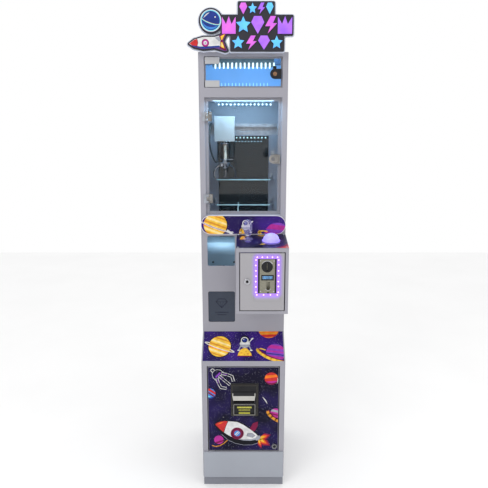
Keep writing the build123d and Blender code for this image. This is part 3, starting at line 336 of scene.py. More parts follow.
def screw_head(bm, place, axis, radius):
    """A domed screw with a round sunken recess in its crown."""
    turned(bm, [(0, radius), (radius * 0.25, radius * 0.98), (radius * 0.5, radius * 0.75),
                (radius * 0.62, radius * 0.4), (radius * 0.45, radius * 0.3), (radius * 0.45, 0)],
           place, axis, 20)


rear_low, rear_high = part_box("rear_panels")
rear_y = rear_high.y


def rear_screws(bm):
    inset = 0.009
    for x in (rear_low.x + inset, rear_high.x - inset):
        for i in range(9):
            z = rear_low.z + 0.03 + i * (rear_high.z - rear_low.z - 0.06) / 8
            screw_head(bm, (x, rear_y, z), (0, 1, 0), 0.0032)


add("rear_panel_screws", rear_screws, "cabinet", zinc, smooth=40)

# ---- Power inlet and rocker switch ----
# A snap-in inlet with three blades and a rocker beside it, both moulded black.

dress("power_inlet", black_plastic, 0.0005)
switch_red = finish_of("rocker_red", (0.5, 0.02, 0.02), 0.1, (0.25, 0.35), 900, 40, 0.0001)
dress("power_switch", switch_red, 0.0005)
dress("electronics", finish_of("board_and_case", (0.06, 0.22, 0.12), 0.3, (0.35, 0.6), 300, 90, 0.0003),
      0.0003)
dress("cash_box", zinc, 0.0004)
dress("frame_hinge_parts", zinc, 0.0003)

# ---- Light box ----
# The top compartment is lit in blue by a row of upright light bars on a strip that hangs from the
# roof. Its pane is hinged at the left in two painted corner patches, with a black cam lock.


def glow(name, colour, strength, contrast=0.15, scale=120):
    """A glowing surface, for lit diffusers and for painted highlights and reflections: its light is a little
    cloudy, as through moulded plastic.
    """
    made, tree, shader = material_tree(name)
    cloud = speckle(tree, scale, 3)
    tone = two_tones(tree, cloud, [c * (1 - contrast) for c in colour], colour)
    tree.links.new(tone, shader.inputs["Base Color"])
    tree.links.new(tone, shader.inputs["Emission Color"])
    shader.inputs["Emission Strength"].default_value = strength
    shader.inputs["Roughness"].default_value = 0.35
    return made


def clear_sheet(name, colour, alpha, rough=(0.02, 0.06), gloss=0.3):
    """Glass or acrylic: see-through, with faint smears in its gloss."""
    made, tree, shader = material_tree(name)
    smear = speckle(tree, 18, 6, (1, 1, 0.4))
    tree.links.new(two_tones(tree, smear, [c * 0.97 for c in colour], colour), shader.inputs["Base Color"])
    tree.links.new(spread(tree, smear, *rough), shader.inputs["Roughness"])
    tree.links.new(spread(tree, smear, alpha * 0.85, alpha * 1.15), shader.inputs["Alpha"])
    shader.inputs["Specular IOR Level"].default_value = gloss
    made.surface_render_method = "BLENDED"
    return made


cold_white = glow("cold_diode", (0.72, 0.93, 1.0), 1.35)
strip_board = finish_of("strip_board", (0.13, 0.25, 0.34), 0.12, (0.4, 0.5), 900, 60, 0.0001)
dress("light_bars", strip_board, 0.0003)
door_pane = clear_sheet("door_pane", (0.03, 0.05, 0.06), 0.07)
dress("light_box_glass", door_pane)
patch_grey = coat("patch_grey", (0.40, 0.40, 0.41))
dress("light_box_fittings", patch_grey, 0.0004)
copper_tone = finish_of("lock_brass", (0.30, 0.17, 0.10), 0.12, (0.2, 0.35), 900, 60, 0.00005, Metallic=1.0)
dress("light_box_lock_plug", black_plastic, 0.0002)

bars_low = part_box("light_bars")[0]
column_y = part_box("upper_front_frame")[0].y
hung_y = column_y + 26 * MM
hung_low = 1.636
row_middle = 5 * MM
bar_count = 15
bar_pitch = 15.2 * MM
bar_height = 21 * MM
bar_radius = 2.9 * MM


def light_tubes(bm):
    for i in range(bar_count):
        x = (i - (bar_count - 1) / 2) * bar_pitch + row_middle
        low = hung_low - 6 * MM
        turned(bm, [(0, 0), (0.0002, bar_radius * 0.6), (0.0012, bar_radius),
                    (bar_height - 0.0012, bar_radius), (bar_height - 0.0002, bar_radius * 0.6),
                    (bar_height, 0)],
               (x, hung_y - bar_radius - 0.3 * MM, low), (0, 0, 1), 16)


add("light_box_tubes", light_tubes, "cabinet", cold_white, smooth=50, slot="led_board")

# The compartment's lining, a thin tray whose blue colour and glow are painted light: the light bars' wash
# over white panels
blue_lining_painted_light = finish_of("blue_lining_painted_light", (0.22, 0.42, 0.62), 0.10, (0.18, 0.3), 400, 9, 0.0001,
                        Emission_Color=(0.20, 0.44, 0.74, 1), Emission_Strength=0.52)
box_floor_low, box_floor_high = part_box("light_box_floor")
rear_inner = rear_low.y


def lining(bm):
    gap = 0.6 * MM
    skin = 0.8 * MM
    left, right = box_floor_low.x + gap, box_floor_high.x - gap
    low, high = box_floor_high.z + gap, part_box("roof_panel")[1].z - 4 * MM
    front_edge = column_y + 18 * MM
    brick(bm, (left, rear_inner - gap - skin, low), (right, rear_inner - gap, high))
    brick(bm, (left, front_edge, low), (left + skin, rear_inner - gap - skin, high))
    brick(bm, (right - skin, front_edge, low), (right, rear_inner - gap - skin, high))
    brick(bm, (left + skin, front_edge, low), (right - skin, rear_inner - gap - skin, low + skin))


add("light_box_lining", lining, "cabinet", blue_lining_painted_light, slot="inner_paint")
# Painted reflection: glowing dashes for the light bars mirrored in the back panel, and for a dim row in the
# mirror.
painted_reflection_blue = glow("painted_reflection_diode", (0.42, 0.76, 0.95), 0.75)


def painted_reflection_dashes(bm):
    """A painted reflection of the light bars in the glossy back wall: a dimmer, lower row of glowing dashes.
    """
    count, pitch, half_wide = 14, 14.8 * MM, 1.7 * MM
    low, high = 1.594, 1.609
    front = rear_inner - 2.6 * MM
    for i in range(count):
        x = (i - (count - 1) / 2) * pitch + row_middle
        brick(bm, (x - half_wide, front, low), (x + half_wide, front + 1.1 * MM, high), 0.0004)


add("light_box_painted_reflection_strip", painted_reflection_dashes, "cabinet",
                  painted_reflection_blue, slot="led_board")


def lock_shell(bm, centre, radius, right_edge, face_y, depth):
    """A rounded lock body with a flat tail that reaches the door's edge, as one closed moulding."""
    cx, cz = centre
    outline = []
    steps = 20
    for i in range(steps + 1):
        turn = math.pi / 2 + math.pi * i / steps
        outline.append((cx + radius * math.cos(turn), cz + radius * math.sin(turn)))
    outline += [(right_edge, cz - radius), (right_edge, cz + radius)]
    inner = [(cx + (x - cx) * 0.93, cz + (z - cz) * 0.93) for x, z in outline]
    front = [bm.verts.new((x, face_y, z)) for x, z in inner]
    mid = [bm.verts.new((x, face_y + 0.9 * MM, z)) for x, z in outline]
    rear = [bm.verts.new((x, face_y + depth, z)) for x, z in outline]
    wall(bm, front, mid)
    wall(bm, mid, rear)
    bm.faces.new(front)
    bm.faces.new(rear)


light_lock = (0.114, 1.609)
lock_face = column_y - 3 * MM
add("light_box_lock_cover", lambda bm: lock_shell(
    bm, light_lock, 17.6 * MM, 0.1375, lock_face - 0.9 * MM, 1.2 * MM), "light_box_door", black_plastic)


def keyway_face(bm, place, radius, face_y):
    """The plug's visible end: a stepped disc with a raised lip and a cut keyway."""
    x, z = place
    turned(bm, [(0, radius + 2.6 * MM), (0.9 * MM, radius + 2.2 * MM), (1.1 * MM, radius + 0.5 * MM),
                (0.7 * MM, radius + 0.3 * MM), (0.7 * MM, 0)], (x, face_y, z), (0, -1, 0), 32)
    brick(bm, (x - 0.55 * MM, face_y - 0.85 * MM, z - 3 * MM),
          (x + 0.55 * MM, face_y - 0.6 * MM, z + 3 * MM),
          material=1)


add("light_box_lock_face", lambda bm: keyway_face(
    bm, light_lock, 5 * MM, lock_face - 0.9 * MM), "light_box_lock", copper_tone, black_plastic, smooth=40,
    slot="chrome")

# ---- Playing chamber ----
# Pale blue walls washed in cold light from a row of diodes on the back wall, a dark mirror
# behind the toys, two clear ledges on small brackets, and clear guards round the prize chute.

dress("back_mirror", finish_of("dark_mirror", (0.012, 0.013, 0.015), 0.2, (0.05, 0.10), 200, 6, 0.00001,
                               Specular_IOR_Level=0.7))
clear_acrylic = clear_sheet("clear_acrylic", (0.10, 0.15, 0.17), 0.14)
dress("display_ledges", clear_acrylic, 0.0003)
dress("clear_guards", clear_acrylic, 0.0003)
dress("side_rails", zinc, 0.0003)

dot_count = 14
dot_pitch = 16.9 * MM
mirror_low, mirror_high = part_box("back_mirror")
chamber_dots_z = bars_low.z + 6 * MM


def diode_row(bm, count, pitch, centre, radius, axis):
    """Round diode bases with domed lenses in a row along X."""
    for i in range(count):
        place = Vector(centre) + Vector(((i - (count - 1) / 2) * pitch, 0, 0))
        turned(bm, [(0, radius * 1.15), (radius * 0.35, radius * 1.1), (radius * 0.4, radius * 0.85),
                    (radius * 0.8, radius * 0.6), (radius * 0.95, 0)], place, axis, 12)


bright_white = glow("bright_diode", (0.85, 0.97, 1.0), 2.4)
add("chamber_diodes", lambda bm: diode_row(
    bm, dot_count, dot_pitch, (5 * MM, rear_inner - 4 * MM, chamber_dots_z), 3.0 * MM, (0, -1, 0)),
    "cabinet", bright_white, smooth=40, slot="led_board")
# Painted reflection: two rows of glowing dots on the mirror's face stand for the chamber diodes reflected in
# it.
painted_mirror_reflection = glow("mirror_painted_reflection", (0.62, 0.92, 0.95), 0.9)
add("mirror_painted_reflection_top_row", lambda bm: diode_row(
    bm, 13, 15.5 * MM, (2 * MM, mirror_low.y, mirror_high.z - 8 * MM), 2.4 * MM, (0, -1, 0)),
    "cabinet", painted_mirror_reflection, smooth=40, slot="led_board")
add("mirror_painted_reflection_lower_row", lambda bm: diode_row(
    bm, 12, 13.5 * MM, (2 * MM, mirror_low.y, mirror_high.z - 24 * MM), 1.6 * MM, (0, -1, 0)),
    "cabinet", painted_reflection_blue, smooth=40, slot="led_board")

# Polished acrylic edges, drawn as thin glowing strips: a painted highlight for the light they pipe and shine
# with
acrylic_highlight_glow = glow("acrylic_edge_highlight", (0.46, 0.72, 0.80), 0.45, 0.3, 30)
ledge_low, ledge_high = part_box("display_ledges")
guards_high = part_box("clear_guards")[1]
divider_right = -19 * MM
deck_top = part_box("playfield_deck")[1].z
ledge_tops = (ledge_high.z, 1.101)


def painted_acrylic_highlights(bm):
    for top in ledge_tops:
        brick(bm, (ledge_low.x, ledge_low.y - 0.35 * MM, top - 4.6 * MM),
              (ledge_high.x, ledge_low.y - 0.05 * MM, top - 0.4 * MM), 0.0001)
    brick(bm, (divider_right - 2.8 * MM, -0.0925, deck_top + 1 * MM),
          (divider_right - 0.2 * MM, -0.0922, guards_high.z - 0.5 * MM), 0.0001)
    brick(bm, (divider_right - 2.8 * MM, -0.0920, guards_high.z + 0.05 * MM),
          (divider_right - 0.2 * MM, 0.0718, guards_high.z + 0.35 * MM), 0.0001)


add("acrylic_edge_highlights", painted_acrylic_highlights, "cabinet", acrylic_highlight_glow, slot="clear_acrylic")


def ledge_brackets(bm):
    """Small zinc angles at the ledges' ends, each with a screw through the back wall."""
    for top in ledge_tops:
        for side in (-1, 1):
            x = side * (ledge_high.x + 8 * MM)
            y = rear_inner
            brick(bm, (x - 6 * MM, y - 1.5 * MM, top - 2 * MM), (x + 6 * MM, y, top + 24 * MM), 0.0004)
            brick(bm, (x - 6 * MM, y - 26 * MM, top - 2 * MM), (x + 6 * MM, y - 1.5 * MM, top - 0.5 * MM),
                  0.0004)
            screw_head(bm, (x, y - 1.5 * MM, top + 12 * MM), (0, -1, 0), 3.6 * MM)
            brick(bm, (x - side * 9 * MM - 3 * MM, y - 24 * MM, top + 0.05 * MM),
                  (x - side * 9 * MM + 3 * MM, y - 12 * MM, top + 2.5 * MM), 0.0004)


add("ledge_brackets", ledge_brackets, "cabinet", zinc, smooth=40)


def divider_clips(bm):
    """Two screwed clips that hold the divider down to the deck."""
    for y in (-0.06, 0.03):
        brick(bm, (divider_right + 0.1 * MM, y - 6 * MM, deck_top), (divider_right + 1.6 * MM, y + 6 * MM,
              deck_top + 14 * MM), 0.0003)
        brick(bm, (divider_right + 1.6 * MM, y - 6 * MM, deck_top), (divider_right + 15 * MM, y + 6 * MM,
              deck_top + 1.5 * MM), 0.0003)
        screw_head(bm, (divider_right + 9 * MM, y, deck_top + 1.5 * MM), (0, 0, 1), 2.6 * MM)


add("divider_clips", divider_clips, "cabinet", zinc, smooth=40)

# Sensor windows and the screw on the chute's back face


def chute_sensors(bm):
    for x in (-0.126, -0.038):
        turned(bm, [(0, 4.6 * MM), (1.2 * MM, 4.5 * MM), (1.6 * MM, 3.6 * MM), (1.0 * MM, 2.8 * MM),
                    (1.0 * MM, 0)], (x, 0.0259, 0.877), (0, -1, 0), 24)
    screw_head(bm, (-0.082, 0.0299, 0.86), (0, -1, 0), 3 * MM)


add("chute_sensors", chute_sensors, "cabinet", black_plastic, smooth=40)


def chamber_light(name, place, target, size, power, colour):
    lamp = soft_light(name, place, target, size, power, colour)
    lamp.visible_camera = False
    return lamp


chamber_light("chamber_wash", (0.0, -0.04, 1.53), (0, 0.08, 1.0), 0.22, 2.6, (0.42, 0.74, 1.0))
chamber_light("light_box_wash", (0.0, 0.0, 1.66), (0, 0.15, 1.56), 0.2, 0.16, (0.35, 0.55, 1.0))
chamber_light("chute_wash", (-0.09, 0.05, 1.04), (-0.09, 0.06, 0.93), 0.05, 0.16, (0.75, 0.92, 1.0))

# ---- Crane ----
# A zinc-plated channel beam on two side rails, a trolley under a grey painted cover, and below
# it a copper-wound coil that closes three thin chromed fingers.

for node in ("gantry_frame", "gantry_axle", "trolley_frame", "claw_plunger"):
    dress(node, zinc, 0.0003)
dress("trolley_wheel", black_plastic)
dress("winch_drum", black_plastic)
cover_grey = coat("cover_grey", (0.30, 0.30, 0.30))
dress("trolley_cover", cover_grey, 0.0009)
dark_chrome = finish_of("dark_chrome", (0.16, 0.16, 0.17), 0.3, (0.10, 0.22), 500, 40, 0.00003, Metallic=1.0)
for number in (1, 2, 3):
    dress(f"claw_finger_{number}", dark_chrome, 0.0004)
dress("claw_body", zinc, 0.0004)

claw_axis = Vector((-73 * MM, 0, 0))
coil_low = 1.302
coil_radius = 14.5 * MM


def coil_windings(bm):
    """Wire laid turn on turn round the bobbin."""
    turns = 44
    pitch = 57.6 * MM / turns
    margin = 0.2 * MM
    skin = coil_radius + 0.05 * MM
    profile = [(0, skin - 0.3 * MM), (0, skin)]
    for i in range(turns):
        start = margin + i * pitch
        profile += [(start + 0.22 * pitch, skin + 0.35 * MM), (start + 0.50 * pitch, skin + 0.62 * MM),
                    (start + 0.78 * pitch, skin + 0.35 * MM), (start + pitch, skin + 0.1 * MM)]
    profile.append((57.9 * MM, skin - 0.3 * MM))
    turned(bm, profile, (claw_axis.x, 0, coil_low), (0, 0, 1), 40)


copper_wire = finish_of("enamelled_copper", (0.30, 0.22, 0.17), 0.35, (0.22, 0.36), 1200, 90, 0.00005,
                        Metallic=1.0)
add("coil_windings", coil_windings, "claw", copper_wire, smooth=60, slot="copper_coil")


def cover_screws(bm):
    low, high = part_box("trolley_cover")
    for z in (low.z + 12 * MM, high.z - 12 * MM):
        for x, side in ((low.x, -1), (high.x, 1)):
            screw_head(bm, (x, high.y - 10 * MM, z), (side, 0, 0), 2.6 * MM)


add("cover_screws", cover_screws, "trolley", zinc, smooth=40)

# ---- Main door and its fittings ----
# The tall pane of the playing chamber hangs on two clip hinges at the left and shuts with a
# round lock at the right. Clips and lock are brushed steel.

dress("main_door_glass", door_pane)
brushed_steel = finish_of("brushed_steel", (0.26, 0.25, 0.24), 0.3, (0.16, 0.3), 700, 40, 0.00004,
                          Metallic=1.0)
dress("main_door_fittings", brushed_steel, 0.0004)
dress("main_door_lock_plug", zinc, 0.0002)
hinge_heights = (1.158, 1.460)
hinge_x = -134.5 * MM
door_face = column_y + 3 * MM
main_lock = (0.111, 1.306)


def hinge_clips(bm):
    """The bright clamp plates that grip the glass at each hinge, with two screws each."""
    for z in hinge_heights:
        brick(bm, (hinge_x - 4 * MM, door_face - 4.6 * MM, z - 17 * MM),
              (hinge_x + 17 * MM, door_face - 3.1 * MM, z + 17 * MM), 0.0005)
        for offset in (-9 * MM, 9 * MM):
            screw_head(bm, (hinge_x + 11 * MM, door_face - 4.6 * MM, z + offset), (0, -1, 0), 3.0 * MM)


add("main_door_hinge_clips", hinge_clips, "main_door", brushed_steel,
          smooth=40, slot="chrome")


add("main_door_lock_face", lambda bm: keyway_face(
    bm, main_lock, 4.4 * MM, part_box("main_door_fittings")[0].y), "main_door_lock", dark_chrome,
    black_plastic, smooth=40)

# ---- Printed films ----
# The machine wears printed vinyl: a deep indigo sky with stars, and flat-drawn planets on it.
# Each print is a stack of very thin vinyl layers, cut to outline.


def ink(name, colour, contrast=0.12, scale=70):
    """Printed vinyl: mottled ink with a soft gloss."""
    made, tree, shader = material_tree(name)
    cloud = speckle(tree, scale, 5)
    tone = two_tones(tree, cloud, [c * (1 - contrast) for c in colour],
                     [min(1, c * (1 + contrast)) for c in colour])
    tree.links.new(tone, shader.inputs["Base Color"])
    tree.links.new(spread(tree, speckle(tree, scale * 2, 3), 0.28, 0.42), shader.inputs["Roughness"])
    relief(tree, shader, speckle(tree, 1600, 2), 0.00008)
    shader.inputs["Specular IOR Level"].default_value = 0.12
    return made


def night_sky(name, deep, mist, star_scale=260, star_size=0.10):
    """Ink for a night sky: misty nebula clouds and a scatter of round stars."""
    made, tree, shader = material_tree(name)
    cloud = speckle(tree, 11, 6)
    tone = two_tones(tree, cloud, deep, mist, 0.42, 0.72)
    place = tree.nodes.new("ShaderNodeTexCoord")
    cells = tree.nodes.new("ShaderNodeTexVoronoi")
    cells.inputs["Scale"].default_value = star_scale
    tree.links.new(place.outputs["Object"], cells.inputs["Vector"])
    near = tree.nodes.new("ShaderNodeMath")
    near.operation = "LESS_THAN"
    near.inputs[1].default_value = star_size
    tree.links.new(cells.outputs["Distance"], near.inputs[0])
    mix = tree.nodes.new("ShaderNodeMix")
    mix.data_type = "RGBA"
    tree.links.new(near.outputs["Value"], mix.inputs["Factor"])
    tree.links.new(tone, mix.inputs[6])
    mix.inputs[7].default_value = (0.75, 0.75, 0.95, 1)
    tree.links.new(mix.outputs[2], shader.inputs["Base Color"])
    tree.links.new(spread(tree, cloud, 0.25, 0.4), shader.inputs["Roughness"])
    shader.inputs["Specular IOR Level"].default_value = 0.12
    return made


inks = {
    "sky": night_sky("sky_ink", (0.016, 0.008, 0.075), (0.050, 0.016, 0.22)),
    "dark_sky": night_sky("dark_sky_ink", (0.005, 0.004, 0.018), (0.018, 0.010, 0.085)),
    "pale": ink("pale_yellow_ink", (0.85, 0.66, 0.28)),
}
for tone, colour in (("white", (0.62, 0.62, 0.62)), ("grey", (0.30, 0.31, 0.36)),
                     ("yellow", (0.80, 0.48, 0.05)),
                     ("amber", (0.62, 0.26, 0.03)), ("orange", (0.75, 0.17, 0.02)),
                     ("red", (0.50, 0.03, 0.03)),
                     ("maroon", (0.18, 0.01, 0.05)), ("magenta", (0.42, 0.03, 0.26)),
                     ("violet", (0.22, 0.05, 0.42)), ("navy", (0.02, 0.04, 0.22)),
                     ("blue", (0.05, 0.20, 0.55)),
                     ("cyan", (0.18, 0.62, 0.75)), ("black", (0.006, 0.006, 0.010))):
    inks[tone] = ink(f"{tone}_ink", colour)


def clipped(outline, window):
    """An outline cut to a convex window (Sutherland and Hodgman's method); the window runs anticlockwise."""
    kept = list(outline)
    for i in range(len(window)):
        (ax, ay), (bx, by) = window[i], window[(i + 1) % len(window)]
        if not kept:
            return []

        def side(p):
            return (bx - ax) * (p[1] - ay) - (by - ay) * (p[0] - ax)
        result = []
        for j in range(len(kept)):
            here, after = kept[j], kept[(j + 1) % len(kept)]
            a, b = side(here), side(after)
            if a >= 0:
                result.append(here)
            if a * b < 0:
                share = a / (a - b)
                result.append((here[0] + (after[0] - here[0]) * share,
                               here[1] + (after[1] - here[1]) * share))
        kept = result
    return kept


def leaned(points, cx, cy, lean):
    """Points turned by an angle and carried to a middle."""
    across, up = math.cos(lean), math.sin(lean)
    return [(cx + x * across - y * up, cy + x * up + y * across) for x, y in points]


def oval(cx, cy, rx, ry=None, tilt=0.0, start=0.0, end=360.0, steps=48):
    """Points round an ellipse, or along part of it; tilt in degrees."""
    ry = rx if ry is None else ry
    lean = math.radians(tilt)
    full = abs(end - start - 360) < 1e-6
    count = steps if full else steps + 1
    points = []
    for i in range(count):
        turn = math.radians(start + (end - start) * i / steps)
        x, y = rx * math.cos(turn), ry * math.sin(turn)
        points.append((x, y))
    return leaned(points, cx, cy, lean)


def arc_band(cx, cy, rx, ry, width, tilt=0.0, start=0.0, end=360.0, steps=36, taper=False):
    """A strip that follows part of an ellipse; with taper it thins to a point at both ends."""
    pieces = []
    outer = oval(cx, cy, rx, ry, tilt, start, end, steps)
    inner = oval(cx, cy, rx - width, ry - width, tilt, start, end, steps)
    count = min(len(outer), len(inner))
    for i in range(steps):
        j = (i + 1) % count
        a, b = 1.0, 1.0
        if taper:
            a = math.sin(math.pi * i / steps)
            b = math.sin(math.pi * (i + 1) / steps)

        def between(k, share):
            return (outer[k][0] + (inner[k][0] - outer[k][0]) * share,
                    outer[k][1] + (inner[k][1] - outer[k][1]) * share)
        quad = [outer[i], outer[j], between(j, b), between(i, a)]
        if taper and (a < 0.02 or b < 0.02):
            continue
        pieces.append(quad)
    return pieces


def star_shape(cx, cy, radius, points=5, inner=0.42, tilt=90.0):
    shape = []
    for i in range(points * 2):
        reach = radius if i % 2 == 0 else radius * inner
        turn = math.radians(tilt + 180 * i / points)
        shape.append((cx + reach * math.cos(turn), cy + reach * math.sin(turn)))
    return shape


def scaled(points, size=MM):
    return [(x * size, y * size) for x, y in points]


def path_strip(points, width):
    """Four-sided pieces along a broken line, with the given width."""
    strips = []
    for (ax, ay), (bx, by) in zip(points, points[1:]):
        length = math.hypot(bx - ax, by - ay)
        nx, ny = -(by - ay) / length * width / 2, (bx - ax) / length * width / 2
        ex, ey = (bx - ax) / length * width * 0.2, (by - ay) / length * width * 0.2
        strips.append([(ax - ex + nx, ay - ey + ny), (ax - ex - nx, ay - ey - ny),
                       (bx + ex - nx, by + ey - ny), (bx + ex + nx, by + ey + ny)])
    return strips


class Print:
    """A stack of thin vinyl layers on a flat panel, given by its origin and its two directions."""

    def __init__(self, origin, across, up, window):
        self.origin = Vector(origin)
        self.across = Vector(across).normalized()
        self.up = Vector(up).normalized()
        self.out = self.across.cross(self.up).normalized()
        self.window = window
        self.layers = []

    def area(self, colour, outline, level, window=None):
        """A flat shape in one colour; level is its place in the stack."""
        shape = clipped(outline, window or self.window)
        if len(shape) >= 3:
            self.layers.append((colour, shape, level))

    def areas(self, colour, outlines, level, window=None):
        for outline in outlines:
            self.area(colour, outline, level, window)

    def patch(self, colour, points, level):
        """A flat shape given in millimetres."""
        self.area(colour, scaled(points), level)

    def strip(self, colour, points, width, level):
        """A line of some width through points, in millimetres."""
        self.areas(colour, path_strip(scaled(points), width * MM), level)

    def planet(self, cx, cy, radius, base, stripes, level, shade=None, tilt=-20):
        """A striped globe, with a shaded limb where shade is a colour."""
        self.area(base, oval(cx, cy, radius), level)
        globe = oval(cx, cy, radius, steps=48)
        lean = math.radians(tilt)
        for place, thick, colour in stripes:
            mid = radius * place
            half = radius * thick / 2
            stripe = [(-radius * 1.1, mid - half), (radius * 1.1, mid - half * 0.6),
                      (radius * 1.1, mid + half * 0.9), (-radius * 1.1, mid + half)]
            inside = clipped(leaned(stripe, cx, cy, lean), globe)
            if len(inside) >= 3:
                self.area(colour, inside, level + 1)
        if shade:
            self.areas(shade, arc_band(cx, cy, radius, radius, radius * 0.30, 0, 200, 340, 24, True),
                       level + 2)

    def ring(self, cx, cy, radius, rx, ry, width, tilt, colour, level):
        """A planet's ring: its far half passes behind the globe."""
        self.areas(colour, arc_band(cx, cy, rx, ry, width, tilt, 180, 360, 36), level)
        globe = oval(cx, cy, radius)
        for quad in arc_band(cx, cy, rx, ry, width, tilt, 0, 180, 36):
            mx = sum(p[0] for p in quad) / 4
            my = sum(p[1] for p in quad) / 4
            if math.hypot(mx - cx, my - cy) > radius * 0.99:
                self.area(colour, quad, level)

    def piece(self, name, body, base_lift=0.00008, step=0.00005, slot="printed_sheet"):
        colours = []
        bm = bmesh.new()
        for colour, shape, level in self.layers:
            if colour not in colours:
                colours.append(colour)
            area = sum(a[0] * b[1] - b[0] * a[1] for a, b in zip(shape, shape[1:] + shape[:1])) / 2
            if abs(area) < 2e-8:
                continue
            if area < 0:
                shape = shape[::-1]
            lift = base_lift + level * step
            places = [self.origin + self.across * x + self.up * y for x, y in shape]
            top = [bm.verts.new(place + self.out * lift) for place in places]
            low = [bm.verts.new(place) for place in places]
            tone = colours.index(colour)
            bm.faces.new(top).material_index = tone
            bm.faces.new(low[::-1]).material_index = tone
            wall(bm, low, top, tone)
        made = new_piece(name, mesh_of(name, bm, False), body, *[inks[c] for c in colours])
        return made

# ---- Banner ----
# A rounded board across the column, printed with a gold ringed planet, a small lander on a rock,
# and a magenta planet with a yellow ring at the right. Its edge is left white.

banner_edge = finish_of("banner_edge", (0.80, 0.76, 0.82), 0.04, (0.3, 0.4), 500, 30, 0.0001)
dress("banner_board", banner_edge, 0.0005)
banner_low, banner_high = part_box("banner_board")


def stadium(half, radius, steps=20):
    """A rounded bar's outline, anticlockwise."""
    right = oval(half - radius, 0, radius, start=-90, end=90, steps=steps)
    left = oval(radius - half, 0, radius, start=90, end=270, steps=steps)
    return right + left


gold_stripes = [(0.72, 0.16, "amber"), (0.36, 0.20, "pale"), (0.05, 0.18, "amber"), (-0.28, 0.14, "orange"),
                (-0.56, 0.20, "pale"), (-0.82, 0.14, "amber")]
magenta_stripes = [(0.62, 0.42, "magenta"), (0.12, 0.12, "magenta"), (-0.18, 0.16, "navy"),
                   (-0.50, 0.22, "magenta")]


def lander(sheet, cx, cy, size, level):
    """A round-windowed landing capsule on three legs, with a dish."""
    k = size
    for side in (-1, 1):
        sheet.area("grey", [(cx + side * 0.28 * k, cy - 0.05 * k), (cx + side * 0.36 * k, cy - 0.05 * k),
                            (cx + side * 0.62 * k, cy - 0.62 * k),
                            (cx + side * 0.50 * k, cy - 0.62 * k)][::side],
                   level)
        sheet.area("white", oval(cx + side * 0.56 * k, cy - 0.62 * k, 0.12 * k, 0.06 * k, steps=16),
                   level + 1)
    sheet.area("white", oval(cx, cy, 0.46 * k, 0.36 * k), level + 1)
    sheet.area("grey", [(cx - 0.46 * k, cy - 0.06 * k), (cx - 0.34 * k, cy - 0.30 * k),
                        (cx + 0.34 * k, cy - 0.30 * k), (cx + 0.46 * k, cy - 0.06 * k)], level + 2)
    sheet.area("white", oval(cx - 0.02 * k, cy + 0.36 * k, 0.34 * k, 0.32 * k), level + 3)
    sheet.area("black", oval(cx - 0.02 * k, cy + 0.36 * k, 0.25 * k, 0.23 * k), level + 4)
    sheet.area("navy", oval(cx - 0.02 * k, cy + 0.36 * k, 0.20 * k, 0.18 * k), level + 5)
    sheet.area("white", oval(cx - 0.10 * k, cy + 0.44 * k, 0.06 * k, 0.04 * k, 30, steps=14), level + 6)
    sheet.area("white", [(cx + 0.30 * k, cy + 0.10 * k), (cx + 0.36 * k, cy + 0.06 * k),
                         (cx + 0.66 * k, cy + 0.44 * k), (cx + 0.60 * k, cy + 0.48 * k)], level + 2)
    sheet.area("white", oval(cx + 0.66 * k, cy + 0.50 * k, 0.14 * k, 0.07 * k, 40, steps=20), level + 3)


def rock(sheet, cx, cy, width, height, top, base, level):
    """A cratered mound with a dark foot."""
    outline = [(-0.5, 0), (-0.44, 0.35), (-0.28, 0.78), (-0.05, 0.98), (0.16, 0.92), (0.34, 0.62),
               (0.46, 0.28),
               (0.5, 0)][::-1]
    sheet.area(base, [(cx + x * width * 1.06, cy + y * height - height * 0.10) for x, y in outline], level)
    sheet.area(top, [(cx + x * width, cy + y * height) for x, y in outline], level + 1)
    for x, y, r in ((-0.22, 0.34, 0.07), (0.10, 0.55, 0.06), (0.22, 0.22, 0.09), (-0.02, 0.16, 0.05)):
        sheet.area("amber", oval(cx + x * width, cy + y * height, r * width, r * width * 0.6, steps=16),
                   level + 2)


def twinkles(sheet, places, level=1):
    for x, y, size in places:
        sheet.area("white", star_shape(x * MM, y * MM, size * MM, 4, 0.28), level)


banner_window = scaled(stadium(160.4, 34.9))
banner = Print((0, banner_low.y, (banner_low.z + banner_high.z) / 2), (1, 0, 0), (0, 0, 1), banner_window)
banner.area("sky", banner_window, 0)
banner.areas("black", arc_band(-0.107, 0, 0.0475, 0.0475, 0.004, 0, -85, 70, 30), 1)
banner.planet(-0.107, 0.0, 0.0445, "yellow", gold_stripes, 2)
banner.areas("white", arc_band(-0.103, -0.002, 0.072, 0.014, 0.0066, -20, 182, 352, 30), 6)
banner.areas("maroon", arc_band(-0.103, -0.0030, 0.066, 0.0105, 0.0016, -20, 186, 344, 30), 7)
banner.area("white", [(-0.060, -0.0165), (-0.0385, -0.0345), (-0.049, -0.0350), (-0.066, -0.0265)], 8)
rock(banner, -0.006, -0.033, 0.021, 0.021, "yellow", "maroon", 2)
lander(banner, 0.009, -0.006, 0.036, 3)
banner.planet(0.130, -0.041, 0.050, "violet", magenta_stripes, 2, None, -8)
banner.strip("yellow", [(91, -25), (77, -22.5), (65, -23)], 5, 6)
banner.strip("yellow", [(64, -24), (60, -29), (66, -36)], 10, 6)
twinkles(banner, [(-42, 22, 1.3), (-30, -8, 1.0), (30, 25, 1.1), (52, 10, 1.4), (70, 26, 1.0), (80, -2, 0.9),
                  (-20, 18, 0.8), (100, 20, 1.2)])
banner.piece("banner_print", "cabinet")

# ---- Control panel ----
# The panel's print is dark and glossy, with gold fragments and a red corner. On it stand a clear
# lit joystick and a lavender dome, both glowing from inside.

dress("control_panel", cabinet_coat, 0.0004)
panel_tilt = math.atan2(18, 165)
panel_across = Vector((1, 0, 0))
panel_up = Vector((0, math.cos(panel_tilt), math.sin(panel_tilt)))
panel_origin = Vector((0.068, -0.272, 1.003))
panel_half = 93.4 * MM
panel_run = 165.3 * MM
stick_at = ((17 - 68) * MM, 75 * MM / math.cos(panel_tilt))
button_at = ((102 - 68) * MM, 70 * MM / math.cos(panel_tilt))


